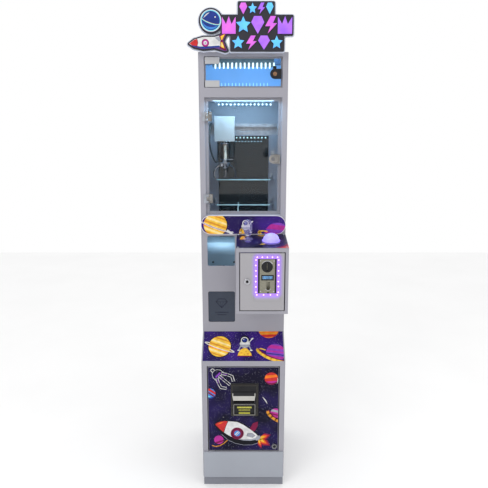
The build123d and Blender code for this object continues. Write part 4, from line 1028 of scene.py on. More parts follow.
def around_hole(window, centre, radius, steps=32):
    """A rectangle with a round hole, as a fan of four-sided pieces; window is (left, low, right, high)."""
    left, low, right, high = window
    turns = {round(2 * math.pi * i / steps, 6) for i in range(steps)}
    for x, y in ((left, low), (right, low), (right, high), (left, high)):
        turns.add(round(math.atan2(y - centre[1], x - centre[0]) % (2 * math.pi), 6))
    turns = sorted(turns)
    pieces = []

    def edge(turn):
        dx, dy = math.cos(turn), math.sin(turn)
        reach = min(((right if dx > 0 else left) - centre[0]) / dx if abs(dx) > 1e-9 else 9,
                    ((high if dy > 0 else low) - centre[1]) / dy if abs(dy) > 1e-9 else 9)
        return centre[0] + dx * reach, centre[1] + dy * reach

    for a, b in zip(turns, turns[1:] + [turns[0] + 2 * math.pi]):
        pieces.append([(centre[0] + radius * math.cos(a), centre[1] + radius * math.sin(a)), edge(a),
                       edge(b),
                       (centre[0] + radius * math.cos(b), centre[1] + radius * math.sin(b))])
    return pieces


panel_window = [(-panel_half, 0.6 * MM), (panel_half, 0.6 * MM), (panel_half, panel_run),
                (-panel_half, panel_run)]
panel_print = Print(panel_origin, panel_across, panel_up, panel_window)
panel_middle = -8 * MM
panel_print.areas("dark_sky",
                  around_hole((-panel_half, 0.6 * MM, panel_middle, panel_run), stick_at, 12.3 * MM), 0)
panel_print.areas("dark_sky",
                  around_hole((panel_middle, 0.6 * MM, panel_half, panel_run), button_at, 34 * MM), 0)
rock(panel_print, -0.070, 0.100, 0.022, 0.040, "amber", "maroon", 1)
panel_print.areas("yellow", arc_band(0.010, 0.030, 0.022, 0.020, 0.009, 10, 40, 150, 14, True), 1)
panel_print.areas("amber", arc_band(-0.060, 0.150, 0.016, 0.014, 0.004, 0, 200, 340, 14, True), 1)
panel_print.areas("yellow", arc_band(0.015, 0.158, 0.030, 0.020, 0.009, 0, 190, 330, 14, True), 1)
panel_print.area("maroon", [(0.045, 0.0006), (panel_half, 0.0006), (panel_half, 0.052), (0.078, 0.028)], 1)
panel_print.area("red", [(0.062, 0.0006), (panel_half, 0.0006), (panel_half, 0.026)], 2)
panel_print.areas("grey", arc_band(-0.051, 0.075, 0.040, 0.026, 0.0014, -6, 300, 350, 14, True), 1)
twinkles(panel_print, [(-80, 30, 1.2), (-85, 120, 1.0), (-30, 20, 1.1), (-20, 130, 1.4), (86, 130, 1.3),
                       (80, 150, 1.0), (-70, 60, 0.9)])
panel_print.piece("control_panel_print", "cabinet")


def panel_screws(bm):
    for x, y in ((-87, 7), (87, 7), (-87, 158), (87, 158)):
        place = panel_origin + panel_across * x * MM + panel_up * y * MM + \
            panel_across.cross(panel_up) * 0.0002
        screw_head(bm, place, panel_across.cross(panel_up), 3.2 * MM)


add("panel_screws", panel_screws, "cabinet", zinc, smooth=40)

lavender = glow("lit_lavender", (0.36, 0.26, 0.95), 0.62, 0.25, 60)
dome_glow = glow("lit_dome", (0.34, 0.30, 0.98), 0.70, 0.20, 45)
dress("play_button", dome_glow)
shade_smooth(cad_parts["play_button"].data, 35)
dress("control_housings", finish_of("button_bezel", (0.15, 0.12, 0.40), 0.15, (0.2, 0.3), 500, 40, 0.0001,
                                    Emission_Color=(0.30, 0.24, 0.9, 1), Emission_Strength=0.25), 0.0008)
dress("joystick_gimbal", zinc, 0.0003)
stick_clear = clear_sheet("clear_handle", (0.16, 0.14, 0.26), 0.20, (0.03, 0.08), 2.0)
stick_clear.node_tree.nodes["Principled BSDF"].inputs["Emission Color"].default_value = (0.40, 0.36, 0.95, 1)
stick_clear.node_tree.nodes["Principled BSDF"].inputs["Emission Strength"].default_value = 0.36
dress("joystick", stick_clear)
shade_smooth(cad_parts["joystick"].data, 35)
stick_foot = panel_origin + panel_across * stick_at[0] + panel_up * stick_at[1]
panel_out = panel_across.cross(panel_up)


def handle_grip(bm):
    """A bright collar at the foot of the clear handle."""
    turned(bm, [(28.4 * MM, 8.2 * MM), (28.4 * MM, 10.2 * MM), (25.2 * MM, 10.2 * MM), (24.4 * MM, 7.2 * MM),
                (24.4 * MM, 4.7 * MM), (28.4 * MM, 4.7 * MM)], stick_foot, panel_out, 32)


add("joystick_collar", handle_grip, "joystick", chrome, smooth=40)


button_foot = panel_origin + panel_across * button_at[0] + panel_up * button_at[1]
add("button_light_ring", lambda bm: hoop(
    bm, button_foot, panel_out, scaled([(6.02, 29.8), (6.02, 33.2), (6.5, 33.2), (6.5, 29.8)]), 48),
    "cabinet", lavender, smooth=40, slot="lit_plastic")

# ---- Slope print ----
# The sloped sheet below the column: a gold ringed planet, the lander on its rock, a magenta
# planet with a yellow ring, and an orange one cut off by the top edge.

slope_foot = Vector((0, -0.205, 0.540))
slope_head = Vector((0, -0.107, 0.625))
slope_length = (slope_head - slope_foot).length
slope_half = 157.5 * MM
slope_window = [(-slope_half, 1.5 * MM), (slope_half, 1.5 * MM), (slope_half, slope_length - 1.5 * MM),
                (-slope_half, slope_length - 1.5 * MM)]
slope = Print(slope_foot, (1, 0, 0), slope_head - slope_foot, slope_window)
slope.area("sky", slope_window, 0)
slope.area("black", oval(-0.0925, 0.0627, 0.0465), 1)
slope.planet(-0.093, 0.063, 0.0435, "yellow", gold_stripes, 2)
slope.ring(-0.094, 0.060, 0.0435, 0.063, 0.009, 0.0042, -20, "white", 6)
slope.ring(-0.094, 0.0597, 0.0435, 0.0575, 0.0056, 0.0018, -20, "pale", 7)
rock(slope, 0.005, 0.024, 0.055, 0.033, "yellow", "maroon", 1)
slope.area("black", oval(0.006, 0.084, 0.0205, 0.0265), 1)
lander(slope, 0.006, 0.0735, 0.044, 5)
slope.planet(0.101, 0.141, 0.042, "orange", [(-0.22, 0.22, "yellow"), (-0.52, 0.14, "amber"),
                                              (-0.78, 0.26, "red")], 2, None, 2)
slope.planet(0.126, 0.036, 0.0375, "violet", magenta_stripes, 2, None, -8)
ring_line = [(55, 48), (60, 40), (70, 31), (86, 20), (106, 10), (128, 3), (152, -3)]
slope.strip("maroon", [(x + 2, z + 2.5) for x, z in ring_line], 13, 5)
slope.strip("yellow", ring_line, 10.5, 6)
slope.strip("yellow", [(54, 49), (68, 54), (86, 48)], 4.5, 4)
slope.area("yellow", oval(0.055, 0.0485, 0.0052), 6)
twinkles(slope, [(-30, 108, 1.4), (-45, 18, 1.2), (-138, 20, 1.1), (-130, 110, 1.0), (44, 96, 1.3),
                 (58, 68, 1.0),
                 (48, 16, 1.2), (-22, 70, 0.9), (30, 118, 1.0), (140, 92, 1.2)])
slope.piece("slope_print", "cabinet")

# ---- Service door ----
# The lower door's print: a deep sky with planets round the edges, a line-drawn claw, and a white
# rocket with a red nose that flies up to the left below the bill acceptor.

two_faced(dress("service_door", cabinet_coat, 0.0004), black_plastic, -205.1 * MM)
door_y = -0.205
print_half = 137.2 * MM
print_window = [(-print_half, 157.0 * MM), (print_half, 157.0 * MM), (print_half, 515.6 * MM),
                (-print_half, 515.6 * MM)]
door_print = Print((0, door_y, 0), (1, 0, 0), (0, 0, 1), print_window)
bill_hole = (-49.3 * MM, 311.7 * MM, 59.3 * MM, 449.3 * MM)
lock_place = (124 * MM, 175 * MM)
lock_hole = 11.3 * MM
lock_window = (106 * MM, 157 * MM, print_half, 194 * MM)
left, low, right, high = bill_hole
door_print.areas("dark_sky", [
    [(-print_half, 0.157), (106 * MM, 0.157), (106 * MM, 0.194), (-print_half, 0.194)],
    [(-print_half, 0.194), (print_half, 0.194), (print_half, low), (-print_half, low)],
    [(-print_half, low), (left, low), (left, high), (-print_half, high)],
    [(right, low), (print_half, low), (print_half, high), (right, high)],
    [(-print_half, high), (print_half, high), (print_half, 0.5156), (-print_half, 0.5156)]], 0)
door_print.areas("dark_sky", around_hole(lock_window, lock_place, lock_hole), 0)


def outlined(sheet, outline, fill, level, grow, edge="white"):
    """A filled shape with a line round it, both grown from the shape's own middle."""
    cx = sum(p[0] for p in outline) / len(outline)
    cy = sum(p[1] for p in outline) / len(outline)
    reach = max(math.hypot(x - cx, y - cy) for x, y in outline)
    k = 1 + grow / reach
    sheet.area(edge, [(cx + (x - cx) * k, cy + (y - cy) * k) for x, y in outline], level)
    sheet.area(fill, outline, level + 1)


def line_claw(sheet, cx, cy, tilt, level):
    """A claw drawn in pale outline: an eye, a domed hub and three jointed fingers."""
    lean = math.radians(tilt)

    def at(x, y):
        return (cx + (x * math.cos(lean) - y * math.sin(lean)) * MM,
                cy + (x * math.sin(lean) + y * math.cos(lean)) * MM)
    hub = [(-22, -6), (-17, -9), (17, -9), (22, -6), (20, 8), (13, 18), (4, 22), (-4, 22), (-13, 18),
           (-20, 8)]
    outlined(sheet, [at(x, y) for x, y in hub], "dark_sky", level, 2.2 * MM)
    sheet.areas("white", arc_band(*at(0, 28), 8 * MM, 8 * MM, 2.4 * MM), level + 1)
    sheet.area("violet", [at(-15, -3), at(15, -3), at(12, 3), at(-12, 3)], level + 2)
    for side in (-1, 0, 1):
        base = side * 15
        spread = side * 30
        joint = [at(base, -8), at(base * 1.7, -26), at(spread * 1.06, -44), at(spread * 0.72, -60)]
        sheet.areas("white", path_strip(joint, 11.5 * MM), level + 2)
        sheet.areas("dark_sky", path_strip(joint, 7.0 * MM), level + 3)
        sheet.areas("violet", path_strip([at(base * 1.05, -11), at(base * 1.68, -25)], 2.0 * MM), level + 4)


line_claw(door_print, -0.0985, 0.4835, 48, 2)
door_print.planet(0.109, 0.468, 0.026, "red", [(0.35, 0.5, "orange"), (-0.62, 0.45, "magenta")], 2,
                  "maroon", 6)
door_print.areas("white", arc_band(0.104, 0.461, 0.031, 0.030, 0.0022, 0, -38, 28, 16, True), 6)
door_print.planet(-0.131, 0.404, 0.022, "blue",
                  [(0.55, 0.5, "red"), (0.0, 0.35, "maroon"), (-0.6, 0.3, "cyan")],
                  2, "navy", -35)
door_print.planet(0.127, 0.320, 0.021, "magenta", [(0.4, 0.5, "grey"), (-0.3, 0.3, "maroon")], 2, None, -15)
far_ring = [(95, 327), (100, 316), (111, 303), (127, 291), (150, 279)]
door_print.strip("maroon", [(x + 2, z + 2) for x, z in far_ring], 13, 5)
door_print.strip("amber", far_ring, 10.5, 6)
door_print.planet(-0.098, 0.203, 0.019, "magenta", [(-0.5, 0.4, "maroon")], 1, None, 20)
door_print.strip("amber", [(-125, 178), (-113, 173), (-96, 176), (-78, 187), (-64, 201)], 3.4, 4)
door_print.areas("white", arc_band(0.052, 0.352, 0.043, 0.045, 0.0042, 0, 8, 62, 16, True), 2)

# The rocket: dark belly, white body, red nose, round porthole, fins and flames
nose = [(-112, 271), (-104, 278), (-90, 283.5), (-74, 286), (-61, 285)]
back_line = [(-61, 285), (-24, 282), (2, 268), (30, 247), (52, 228), (60, 217)]
belly_line = [(58, 206), (30, 199), (0, 200), (-30, 208), (-56, 221), (-78, 236)]
nose_low = [(-78, 236), (-92, 249), (-104, 262)]
body = nose + back_line[1:] + belly_line + nose_low[1:]
halo_points = [(-117, 272), (-106, 282), (-90, 288), (-74, 290.5), (-60, 289.5), (-23, 286.5), (4, 272),
               (34, 249.5),
               (58, 229), (66, 214), (61, 192), (34, 182), (2, 181), (-32, 189), (-60, 204), (-84, 228),
               (-98, 244),
               (-109, 259)]
belly = [(60, 206), (58, 194), (33, 185), (2, 184), (-31, 192), (-58, 207), (-81, 231), (-94, 247),
         (-78, 238),
         (-56, 223), (-30, 210), (0, 202), (30, 201)]
door_print.patch("black", halo_points, 3)
door_print.strip("grey", [(61, 190), (34, 180.5), (2, 179.5), (-33, 187.5), (-62, 203),
                                            (-86, 227)], 1.4, 4)
door_print.patch("black", belly, 5)
door_print.patch("white", body, 6)
door_print.patch("red", nose + [(-70, 262), (-78, 236)] + nose_low[1:], 7)
door_print.strip("black", [(-61, 285), (-70, 262), (-78, 236)], 1.6, 8)
door_print.patch("orange", [(-104, 271), (-92, 279), (-80, 281.5), (-88, 275)], 8)
door_print.patch("grey", [(58, 206), (30, 199), (0, 200), (-30, 208), (-28, 212), (0, 205), (32, 206),
                                (54, 214)], 7)
for colour, radius, level in (("maroon", 26.2, 8), ("black", 21.5, 9), ("maroon", 19.5, 10),
                              ("blue", 12.5, 11)):
    door_print.area(colour, oval(-0.0245, 0.2315, radius * MM), level)
door_print.areas("white", path_strip(scaled([(-33, 226), (-20, 240)]), 3.6 * MM)
                 + path_strip(scaled([(-28.5, 222.5), (-15.5, 236.5)]), 2.4 * MM), 12)
outlined(door_print, scaled([(24, 250), (38, 276), (58, 284), (56, 262), (44, 240)][::-1]), "maroon", 4,
         2.0 * MM,
         "black")
outlined(door_print, scaled([(18, 232), (34, 232), (46, 222), (36, 214), (14, 220)][::-1]), "grey", 9,
         1.6 * MM,
         "black")
for tip, spread_out in (((110, 226), 11), ((108, 176), 12), ((72, 163), 8), ((94, 200), 13)):
    base = (60, 210)
    reach = math.hypot(tip[0] - base[0], tip[1] - base[1])
    side_x, side_z = -(tip[1] - base[1]) / reach, (tip[0] - base[0]) / reach
    for colour, size, level in (("maroon", 1.25, 4), ("red", 1.0, 5), ("orange", 0.72, 6),
                                ("yellow", 0.42, 7)):
        end = (base[0] + (tip[0] - base[0]) * (0.25 + 0.75 * size / 1.25), base[1] + (tip[1] - base[1])
               * (0.25 + 0.75 * size / 1.25))
        mid = ((base[0] + end[0] * 1.4) / 2.4, (base[1] + end[1] * 1.4) / 2.4)
        flame = [base, (mid[0] - side_x * spread_out * size, mid[1] - side_z * spread_out * size), end,
                 (mid[0] + side_x * spread_out * size, mid[1] + side_z * spread_out * size)]
        door_print.area(colour, scaled(flame), level)
door_print.area("grey", oval(0.058, 0.211, 0.008, 0.0125, -38), 8)
twinkles(door_print, [(-79, 303, 2.0), (10, 487, 1.6), (0, 470, 1.2), (-20, 500, 1.2), (60, 495, 1.2),
                      (80, 420, 1.5),
                      (118, 390, 1.6), (-90, 350, 1.2), (-115, 335, 1.0), (-70, 405, 1.4), (-60, 330, 1.0),
                      (-128, 300, 1.2), (95, 260, 1.3), (126, 240, 1.1), (-126, 165, 1.2), (20, 168, 1.1),
                      (-40, 172, 1.3), (75, 340, 1.0)])
door_print.piece("service_door_print", "service_door")

# The bill acceptor: a black bezel with fine ribs, a grey mouth, and a window with lit guides
dress("bill_acceptor", black_plastic, 0.0006)
mouth_grey = finish_of("mouth_grey", (0.46, 0.45, 0.42), 0.06, (0.35, 0.5), 900, 30, 0.0001)
rib_brown = finish_of("bezel_rib", (0.045, 0.038, 0.028), 0.10, (0.4, 0.5), 900, 30, 0.0001)
bezel_y = door_y - 8 * MM
mouth_y = bezel_y - 4 * MM


def frame_bars(bm, low_x, low_z, high_x, high_z, wide, y_front, y_back, material=0):
    """Four bars round a rectangle."""
    brick(bm, (low_x, y_front, low_z), (high_x, y_back, low_z + wide), 0, material)
    brick(bm, (low_x, y_front, high_z - wide), (high_x, y_back, high_z), 0, material)
    brick(bm, (low_x, y_front, low_z + wide), (low_x + wide, y_back, high_z - wide), 0, material)
    brick(bm, (high_x - wide, y_front, low_z + wide), (high_x, y_back, high_z - wide), 0, material)


def bezel_ribs(bm):
    for inset in (2.5, 6.5):
        frame_bars(bm, (-49 + inset) * MM, (312 + inset) * MM, (59 - inset) * MM, (449 - inset) * MM,
                   1.1 * MM,
                   bezel_y - 0.7 * MM, bezel_y)


add("bill_bezel_ribs", bezel_ribs, "service_door", rib_brown)


def mouthpiece(bm):
    """A tapered tray that guides the note: high at the slot, flaring out at its sides."""
    left, right = -42.6 * MM, 46.6 * MM
    rear, front = mouth_y, mouth_y - 1.0 * MM
    low, high = 381.4 * MM, 400.5 * MM
    shape = [(left + 3 * MM, low), (right - 3 * MM, low), (right, high), (left, high)]
    slab(bm, shape, front, rear)
    brick(bm, (left, mouth_y - 1.2 * MM, 400.5 * MM), (left + 3 * MM, mouth_y, 412 * MM))
    brick(bm, (right - 3 * MM, mouth_y - 1.2 * MM, 400.5 * MM), (right, mouth_y, 412 * MM))
    brick(bm, (left + 6 * MM, mouth_y - 1.3 * MM, 384 * MM), (left + 7.2 * MM, mouth_y - 1.0 * MM, 398 * MM))
    brick(bm, (right - 7.2 * MM, mouth_y - 1.3 * MM, 384 * MM),
          (right - 6 * MM, mouth_y - 1.0 * MM, 398 * MM))


add("bill_mouthpiece", mouthpiece, "service_door", mouth_grey)
guide_lit = glow("note_guide", (0.34, 0.33, 0.04), 0.55, 0.3, 200)


def note_guides(bm):
    well = bezel_y + 5 * MM
    for low_z, half_wide in ((344, 28.5), (319.4, 22)):
        middle = 4 * MM
        brick(bm, (middle - half_wide * MM, well - 1.6 * MM, low_z * MM),
              (middle + half_wide * MM, well - 0.02 * MM, (low_z + 6.5) * MM), 0.0006)
    for low_z in (332, 337):
        brick(bm, (-19 * MM, well - 0.8 * MM, low_z * MM), (27 * MM, well - 0.02 * MM, (low_z + 1.6) * MM))


add("bill_note_guides", note_guides, "service_door", guide_lit)


def window_rim(bm):
    frame_bars(bm, -38.2 * MM, 316.8 * MM, 46.2 * MM, 362.2 * MM, 1.2 * MM, bezel_y - 0.6 * MM, bezel_y)


add("bill_window_rim", window_rim, "service_door", mouth_grey)
dress("service_door_lock_plug", black_plastic, 0.0002)


def lock_collar(bm, x, z, face_y):
    """A lock collar with a bevelled lip, open in the middle."""
    hoop(bm, (x, face_y, z), (0, -1, 0),
         scaled([(0, 11), (0.7, 11), (1.3, 10), (1.3, 7), (0.6, 5.6), (0, 5.6)]))


add("service_lock_collar", lambda bm: lock_collar(
    bm, lock_place[0], lock_place[1], door_y - 3 * MM), "service_door", dark_chrome, smooth=35)

# ---- Coin door ----
# A pale door with a painted violet glow round the coin acceptor: a lit frame with a string of diodes, a
# brushed plate with a black coin entry, a blue display and a return slot below it.

coin_coat = coat("coin_door_coat", (0.33, 0.32, 0.34))
two_faced(dress("coin_door", coin_coat, 0.0006), chrome, -272.1 * MM)
dress("coin_slot_button", black_plastic, 0.0006)
dress("coin_door_lock_plug", black_plastic, 0.0002)
brushed = finish_of("brushed_plate", (0.26, 0.25, 0.20), 0.22, (0.25, 0.45), 260, 90, 0.0001, (1, 1, 14),
                    Metallic=0.85)
dress("coin_acceptor", brushed, 0.0004)
coin_face = -0.272
plate_face = coin_face - 3 * MM
plate_box = (52, 119, 836, 964)
light_frame = (39.5, 131.5, 807.5, 976.5)


def violet_painted_light(name, strength, falloff, base):
    """Painted violet light: a glow that fades with the distance from the coin plate's own outline."""
    made, tree, shader = material_tree(name)
    place = tree.nodes.new("ShaderNodeTexCoord")
    split = tree.nodes.new("ShaderNodeSeparateXYZ")
    tree.links.new(place.outputs["Object"], split.inputs["Vector"])

    def math_node(kind, first, second):
        node = tree.nodes.new("ShaderNodeMath")
        node.operation = kind
        for socket, value in zip(node.inputs, (first, second)):
            if isinstance(value, (int, float)):
                socket.default_value = value
            else:
                tree.links.new(value, socket)
        return node.outputs["Value"]

    middle_x, half_x = (plate_box[0] + plate_box[1]) / 2 * MM, (plate_box[1] - plate_box[0]) / 2 * MM
    middle_z, half_z = (plate_box[2] + plate_box[3]) / 2 * MM, (plate_box[3] - plate_box[2]) / 2 * MM
    beyond = []
    for axis, middle, half in (("X", middle_x, half_x), ("Z", middle_z, half_z)):
        away = math_node("ABSOLUTE", math_node("SUBTRACT", split.outputs[axis], middle), 0)
        out = math_node("MAXIMUM", math_node("SUBTRACT", away, half), 0)
        beyond.append(math_node("MULTIPLY", out, out))
    far = math_node("POWER", math_node("ADD", beyond[0], beyond[1]), 0.5)
    fade = tree.nodes.new("ShaderNodeMapRange")
    fade.interpolation_type = "SMOOTHSTEP"
    fade.inputs["From Min"].default_value = falloff[0]
    fade.inputs["From Max"].default_value = falloff[1]
    fade.inputs["To Min"].default_value = 1
    fade.inputs["To Max"].default_value = 0
    tree.links.new(far, fade.inputs["Value"])
    tone = two_tones(tree, fade.outputs["Result"], base, (0.30, 0.16, 0.72), 0.0, 1.0)
    tree.links.new(tone, shader.inputs["Base Color"])
    shader.inputs["Emission Color"].default_value = (0.36, 0.15, 0.86, 1)
    tree.links.new(math_node("MULTIPLY", fade.outputs["Result"], strength),
                   shader.inputs["Emission Strength"])
    tree.links.new(spread(tree, speckle(tree, 12, 4), 0.36, 0.5), shader.inputs["Roughness"])
    relief(tree, shader, speckle(tree, 1400, 2), 0.0002)
    return made


# The lit frame and the painted light spill round it share this glow, which fades away from the plate.
frame_glow_and_painted_spill = violet_painted_light("violet_painted_light", 0.50, (0.002, 0.026), (0.33, 0.32, 0.34))


def light_frame_film(bm):
    """A diffuser over the lit frame."""
    front = coin_face - 1.5 * MM
    left, right, low, high = (v * MM for v in light_frame)
    pl, pr, pz0, pz1 = (v * MM for v in plate_box)
    film = 0.5 * MM
    brick(bm, (left, front - film, low), (right, front, pz0))
    brick(bm, (left, front - film, pz1), (right, front, high))
    brick(bm, (left, front - film, pz0), (pl, front, pz1))
    brick(bm, (pr, front - film, pz0), (right, front, pz1))


# A thin sheet round the lit frame that carries the frame's violet spill on the door as painted light.
def painted_light_spill_sheet(bm):
    left, right, low, high = (v * MM for v in light_frame)
    out_left, out_right = left - 11 * MM, 146.5 * MM
    out_low, out_high = low - 13 * MM, 983.2 * MM
    back, front = coin_face, coin_face - 0.15 * MM
    brick(bm, (out_left, front, out_low), (out_right, back, low))
    brick(bm, (out_left, front, high), (out_right, back, out_high))
    brick(bm, (out_left, front, low), (left, back, high))
    brick(bm, (right, front, low), (out_right, back, high))


for name, build in (("coin_light_frame", light_frame_film), ("coin_painted_light_spill", painted_light_spill_sheet)):
    add(name, build, "coin_door", frame_glow_and_painted_spill, slot="lit_plastic")


def coin_diodes(bm):
    """A string of diodes round the plate, spaced by hand and so a little uneven."""
    left, right, low, high = 45.5, 125.5, 830.5, 969.8
    places = [(left + 4 + i * (right - left - 8) / 4, high) for i in range(5)]
    places += [(left + 3 + i * (right - left - 6) / 3, low) for i in range(4)]
    for i in range(7):
        z = low + 10 + i * (high - low - 20) / 6
        places += [(left - 0.5 * (i % 3), z), (right + 0.5 * (i % 2), z + 2.0 * (i % 2))]
    for x, z in places:
        turned(bm, [(0, 2.5 * MM), (0.5 * MM, 2.4 * MM), (1.0 * MM, 1.6 * MM), (1.2 * MM, 0)],
               (x * MM, coin_face - 2.0 * MM, z * MM), (0, -1, 0), 12)


add("coin_diodes", coin_diodes, "coin_door",
                  glow("violet_diode", (0.84, 0.50, 1.0), 1.7), smooth=50, slot="led_board")


def plate_trim(bm):
    """Black strips down the plate's sides, its screws, and the rim of its display."""
    left, right, low, high = plate_box
    for a, b in ((left + 0.2, left + 6.4), (right - 6.4, right - 0.2)):
        brick(bm, (a * MM, plate_face - 0.5 * MM, (low + 1) * MM), (b * MM, plate_face, (high - 1) * MM),
              0.0001)
    brick(bm, (left * MM, plate_face - 0.5 * MM, (high - 1) * MM), (right * MM, plate_face, high * MM),
          0.0001)
    frame_bars(bm, 64 * MM, 885 * MM, 109 * MM, 905 * MM, 3.6 * MM, plate_face - 0.9 * MM, plate_face)
    brick(bm, (85.5 * MM, plate_face - 0.7 * MM, 836.4 * MM), (92.5 * MM, plate_face, 841 * MM), 0.0003)


add("coin_plate_trim", plate_trim, "coin_door", black_plastic)


def plate_bright(bm):
    """Chromed parts of the plate: its corner screws, the coin entry's crescent and the return's lip."""
    left, right, low, high = plate_box
    for x in (left + 9.6, right - 9.6):
        for z in (low + 7, high - 7):
            screw_head(bm, (x * MM, plate_face, z * MM), (0, -1, 0), 2.5 * MM)
    crescents = ((0.085, 0.935, 22.6 * MM, 2.4 * MM, 28, 152), (0.089, 0.857, 10.4 * MM, 1.9 * MM, 195, 345))
    for x, z, radius, wide, start, end in crescents:
        for quad in arc_band(x, z, radius, radius, wide, 0, start, end, 26):
            slab(bm, quad, plate_face - 0.9 * MM, plate_face)
    bmesh.ops.remove_doubles(bm, verts=bm.verts, dist=1e-6)


add("coin_plate_bright", plate_bright, "coin_door", chrome)


def display_face(bm):
    brick(bm, (68.5 * MM, plate_face + 0.2 * MM, 889.5 * MM),
          (105 * MM, plate_face + 0.95 * MM, 900.8 * MM), 0.0004)


add("coin_display", display_face, "coin_door",
                  glow("display_blue", (0.10, 0.26, 0.50), 0.35, 0.6, 140), slot="lit_plastic")
add("coin_lock_collar", lambda bm: lock_collar(
    bm, 0.014, 0.880, coin_face - 3 * MM), "coin_door", chrome, smooth=35)


def entry_disc(bm):
    """Two raised half-moons either side of the coin entry."""
    for side in (-1, 1):
        outline = oval(85 * MM + side * 2.2 * MM, 0.935, 16.4 * MM, 16.4 * MM, 0,
                       -90 + 6 if side > 0 else 90 + 6, 90 - 6 if side > 0 else 270 - 6, 20)
        slab(bm, outline, coin_face - 6.6 * MM, coin_face - 6.0 * MM)


add("coin_entry_disc", entry_disc, "coin_slot_button", black_plastic)

# ---- Prize flap ----
# Smoked acrylic with a faint engraved gift sign, hung on a rod.

smoked = clear_sheet("smoked_acrylic", (0.040, 0.050, 0.075), 0.92, (0.08, 0.16))
inks["smoke"] = ink("smoke_line", (0.018, 0.022, 0.040))
dress("prize_flap", smoked, 0.0003)
flap_face = -0.101 - 3.5 * MM
flap_sign = Print((-0.086, flap_face, 0.7275), (1, 0, 0), (0, 0, 1),
                  scaled([(-52, -62), (52, -62), (52, 62), (-52, 62)]))
gem_line = [(0, -19), (-22, 6), (-13, 18), (13, 18), (22, 6), (0, -19)]
flap_sign.strip("smoke", [(x, z + 14) for x, z in gem_line], 3.2, 0)
flap_sign.strip("smoke", [(-22, 20), (22, 20)], 1.8, 0)
flap_sign.strip("smoke", [(-6, 20), (0, -5)], 1.4, 0)
flap_sign.strip("smoke", [(6, 20), (0, -5)], 1.4, 0)
for row, half in ((-24, 26), (-34, 18)):
    flap_sign.strip("smoke", [(-half, row), (half, row)], 3.2, 0)
flap_sign.piece("prize_flap_sign", "prize_flap", 0.00006, 0.00002)

# ---- Sign ----
# Cut-out shapes in pink, cyan and violet stand on a thick black board with a pale rim, beside a
# small rocket under a dark ringed globe.

rim_white = finish_of("rim_white", (0.62, 0.66, 0.78), 0.05, (0.3, 0.4), 500, 30, 0.0001)
board_black = finish_of("board_black", (0.008, 0.008, 0.016), 0.2, (0.3, 0.4), 700, 30, 0.0001)
sign_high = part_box("sign_backboard")[1]
sign_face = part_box("sign_shapes")[0].y
two_faced(dress("sign_backboard", rim_white, 0.0005), board_black, sign_high.y - 3.05 * MM)
dress("sign_brackets", zinc, 0.0004)


def sign_ink_with_painted_glow(name, colour, shade):
    """Sign colour: grades from one tone to a deeper one in soft bands, as an airbrushed letter does, and
    carries a weak painted glow.
    """
    made, tree, shader = material_tree(name)
    cloud = speckle(tree, 26, 3, (1, 1, 1.6))
    tone = two_tones(tree, cloud, shade, colour, 0.3, 0.7)
    tree.links.new(tone, shader.inputs["Base Color"])
    tree.links.new(tone, shader.inputs["Emission Color"])
    # Painted glow: the faces shine a little of their own colour, though the sign has no lamp.
    shader.inputs["Emission Strength"].default_value = 0.18
    tree.links.new(spread(tree, speckle(tree, 60, 3), 0.25, 0.4), shader.inputs["Roughness"])
    shader.inputs["Coat Weight"].default_value = 0.6
    return made


sign_pink = sign_ink_with_painted_glow("sign_pink", (0.70, 0.12, 0.62), (0.50, 0.08, 0.66))
sign_cyan = sign_ink_with_painted_glow("sign_cyan", (0.10, 0.55, 0.90), (0.07, 0.38, 0.85))
sign_violet = sign_ink_with_painted_glow("sign_violet", (0.42, 0.13, 0.82), (0.28, 0.08, 0.70))
shape_edge = finish_of("shape_edge", (0.10, 0.03, 0.20), 0.2, (0.35, 0.5), 700, 30, 0.0001)
dress("sign_shapes", shape_edge, 0.0006)


def star(x, z, width, height):
    points = []
    for i in range(10):
        reach = 0.5 if i % 2 == 0 else 0.25
        turn = math.pi / 2 + i * math.pi / 5
        points.append((x + reach * width * math.cos(turn), z + reach * height * math.sin(turn)))
    return points


def gem(x, z, width, height):
    return [(x - width / 2, z + height * 0.15), (x - width * 0.28, z + height / 2),
            (x + width * 0.28, z + height / 2), (x + width / 2, z + height * 0.15), (x, z - height / 2)]


def bolt(x, z, width, height):
    return [(x - width * 0.05, z + height / 2), (x + width * 0.4, z + height / 2),
            (x + width * 0.16, z + height * 0.1), (x + width / 2, z + height * 0.1),
            (x - width * 0.28, z - height / 2), (x - width * 0.06, z - height * 0.08),
            (x - width / 2, z - height * 0.08)]


def crown(x, z, width, height):
    return [(x - width / 2, z - height / 2), (x - width / 2, z + height * 0.45),
            (x - width * 0.22, z + height * 0.02), (x, z + height / 2),
            (x + width * 0.22, z + height * 0.02), (x + width / 2, z + height * 0.45),
            (x + width / 2, z - height / 2)]


roof_top = 1684
sign_rows = [
    (115, 153, [(gem, 0, 28, 0), (star, 32, 32, 1), (bolt, 62, 26, 2), (gem, 91, 26, 1)]),
    (52, 110, [(crown, -50, 48, 0), (star, 0, 54, 1), (gem, 50, 46, 2), (bolt, 96, 42, 0),
               (crown, 144, 50, 2)]),
    (0, 47, [(star, -18, 46, 1), (bolt, 28, 38, 0), (gem, 72, 42, 2), (star, 116, 44, 1)]),
]


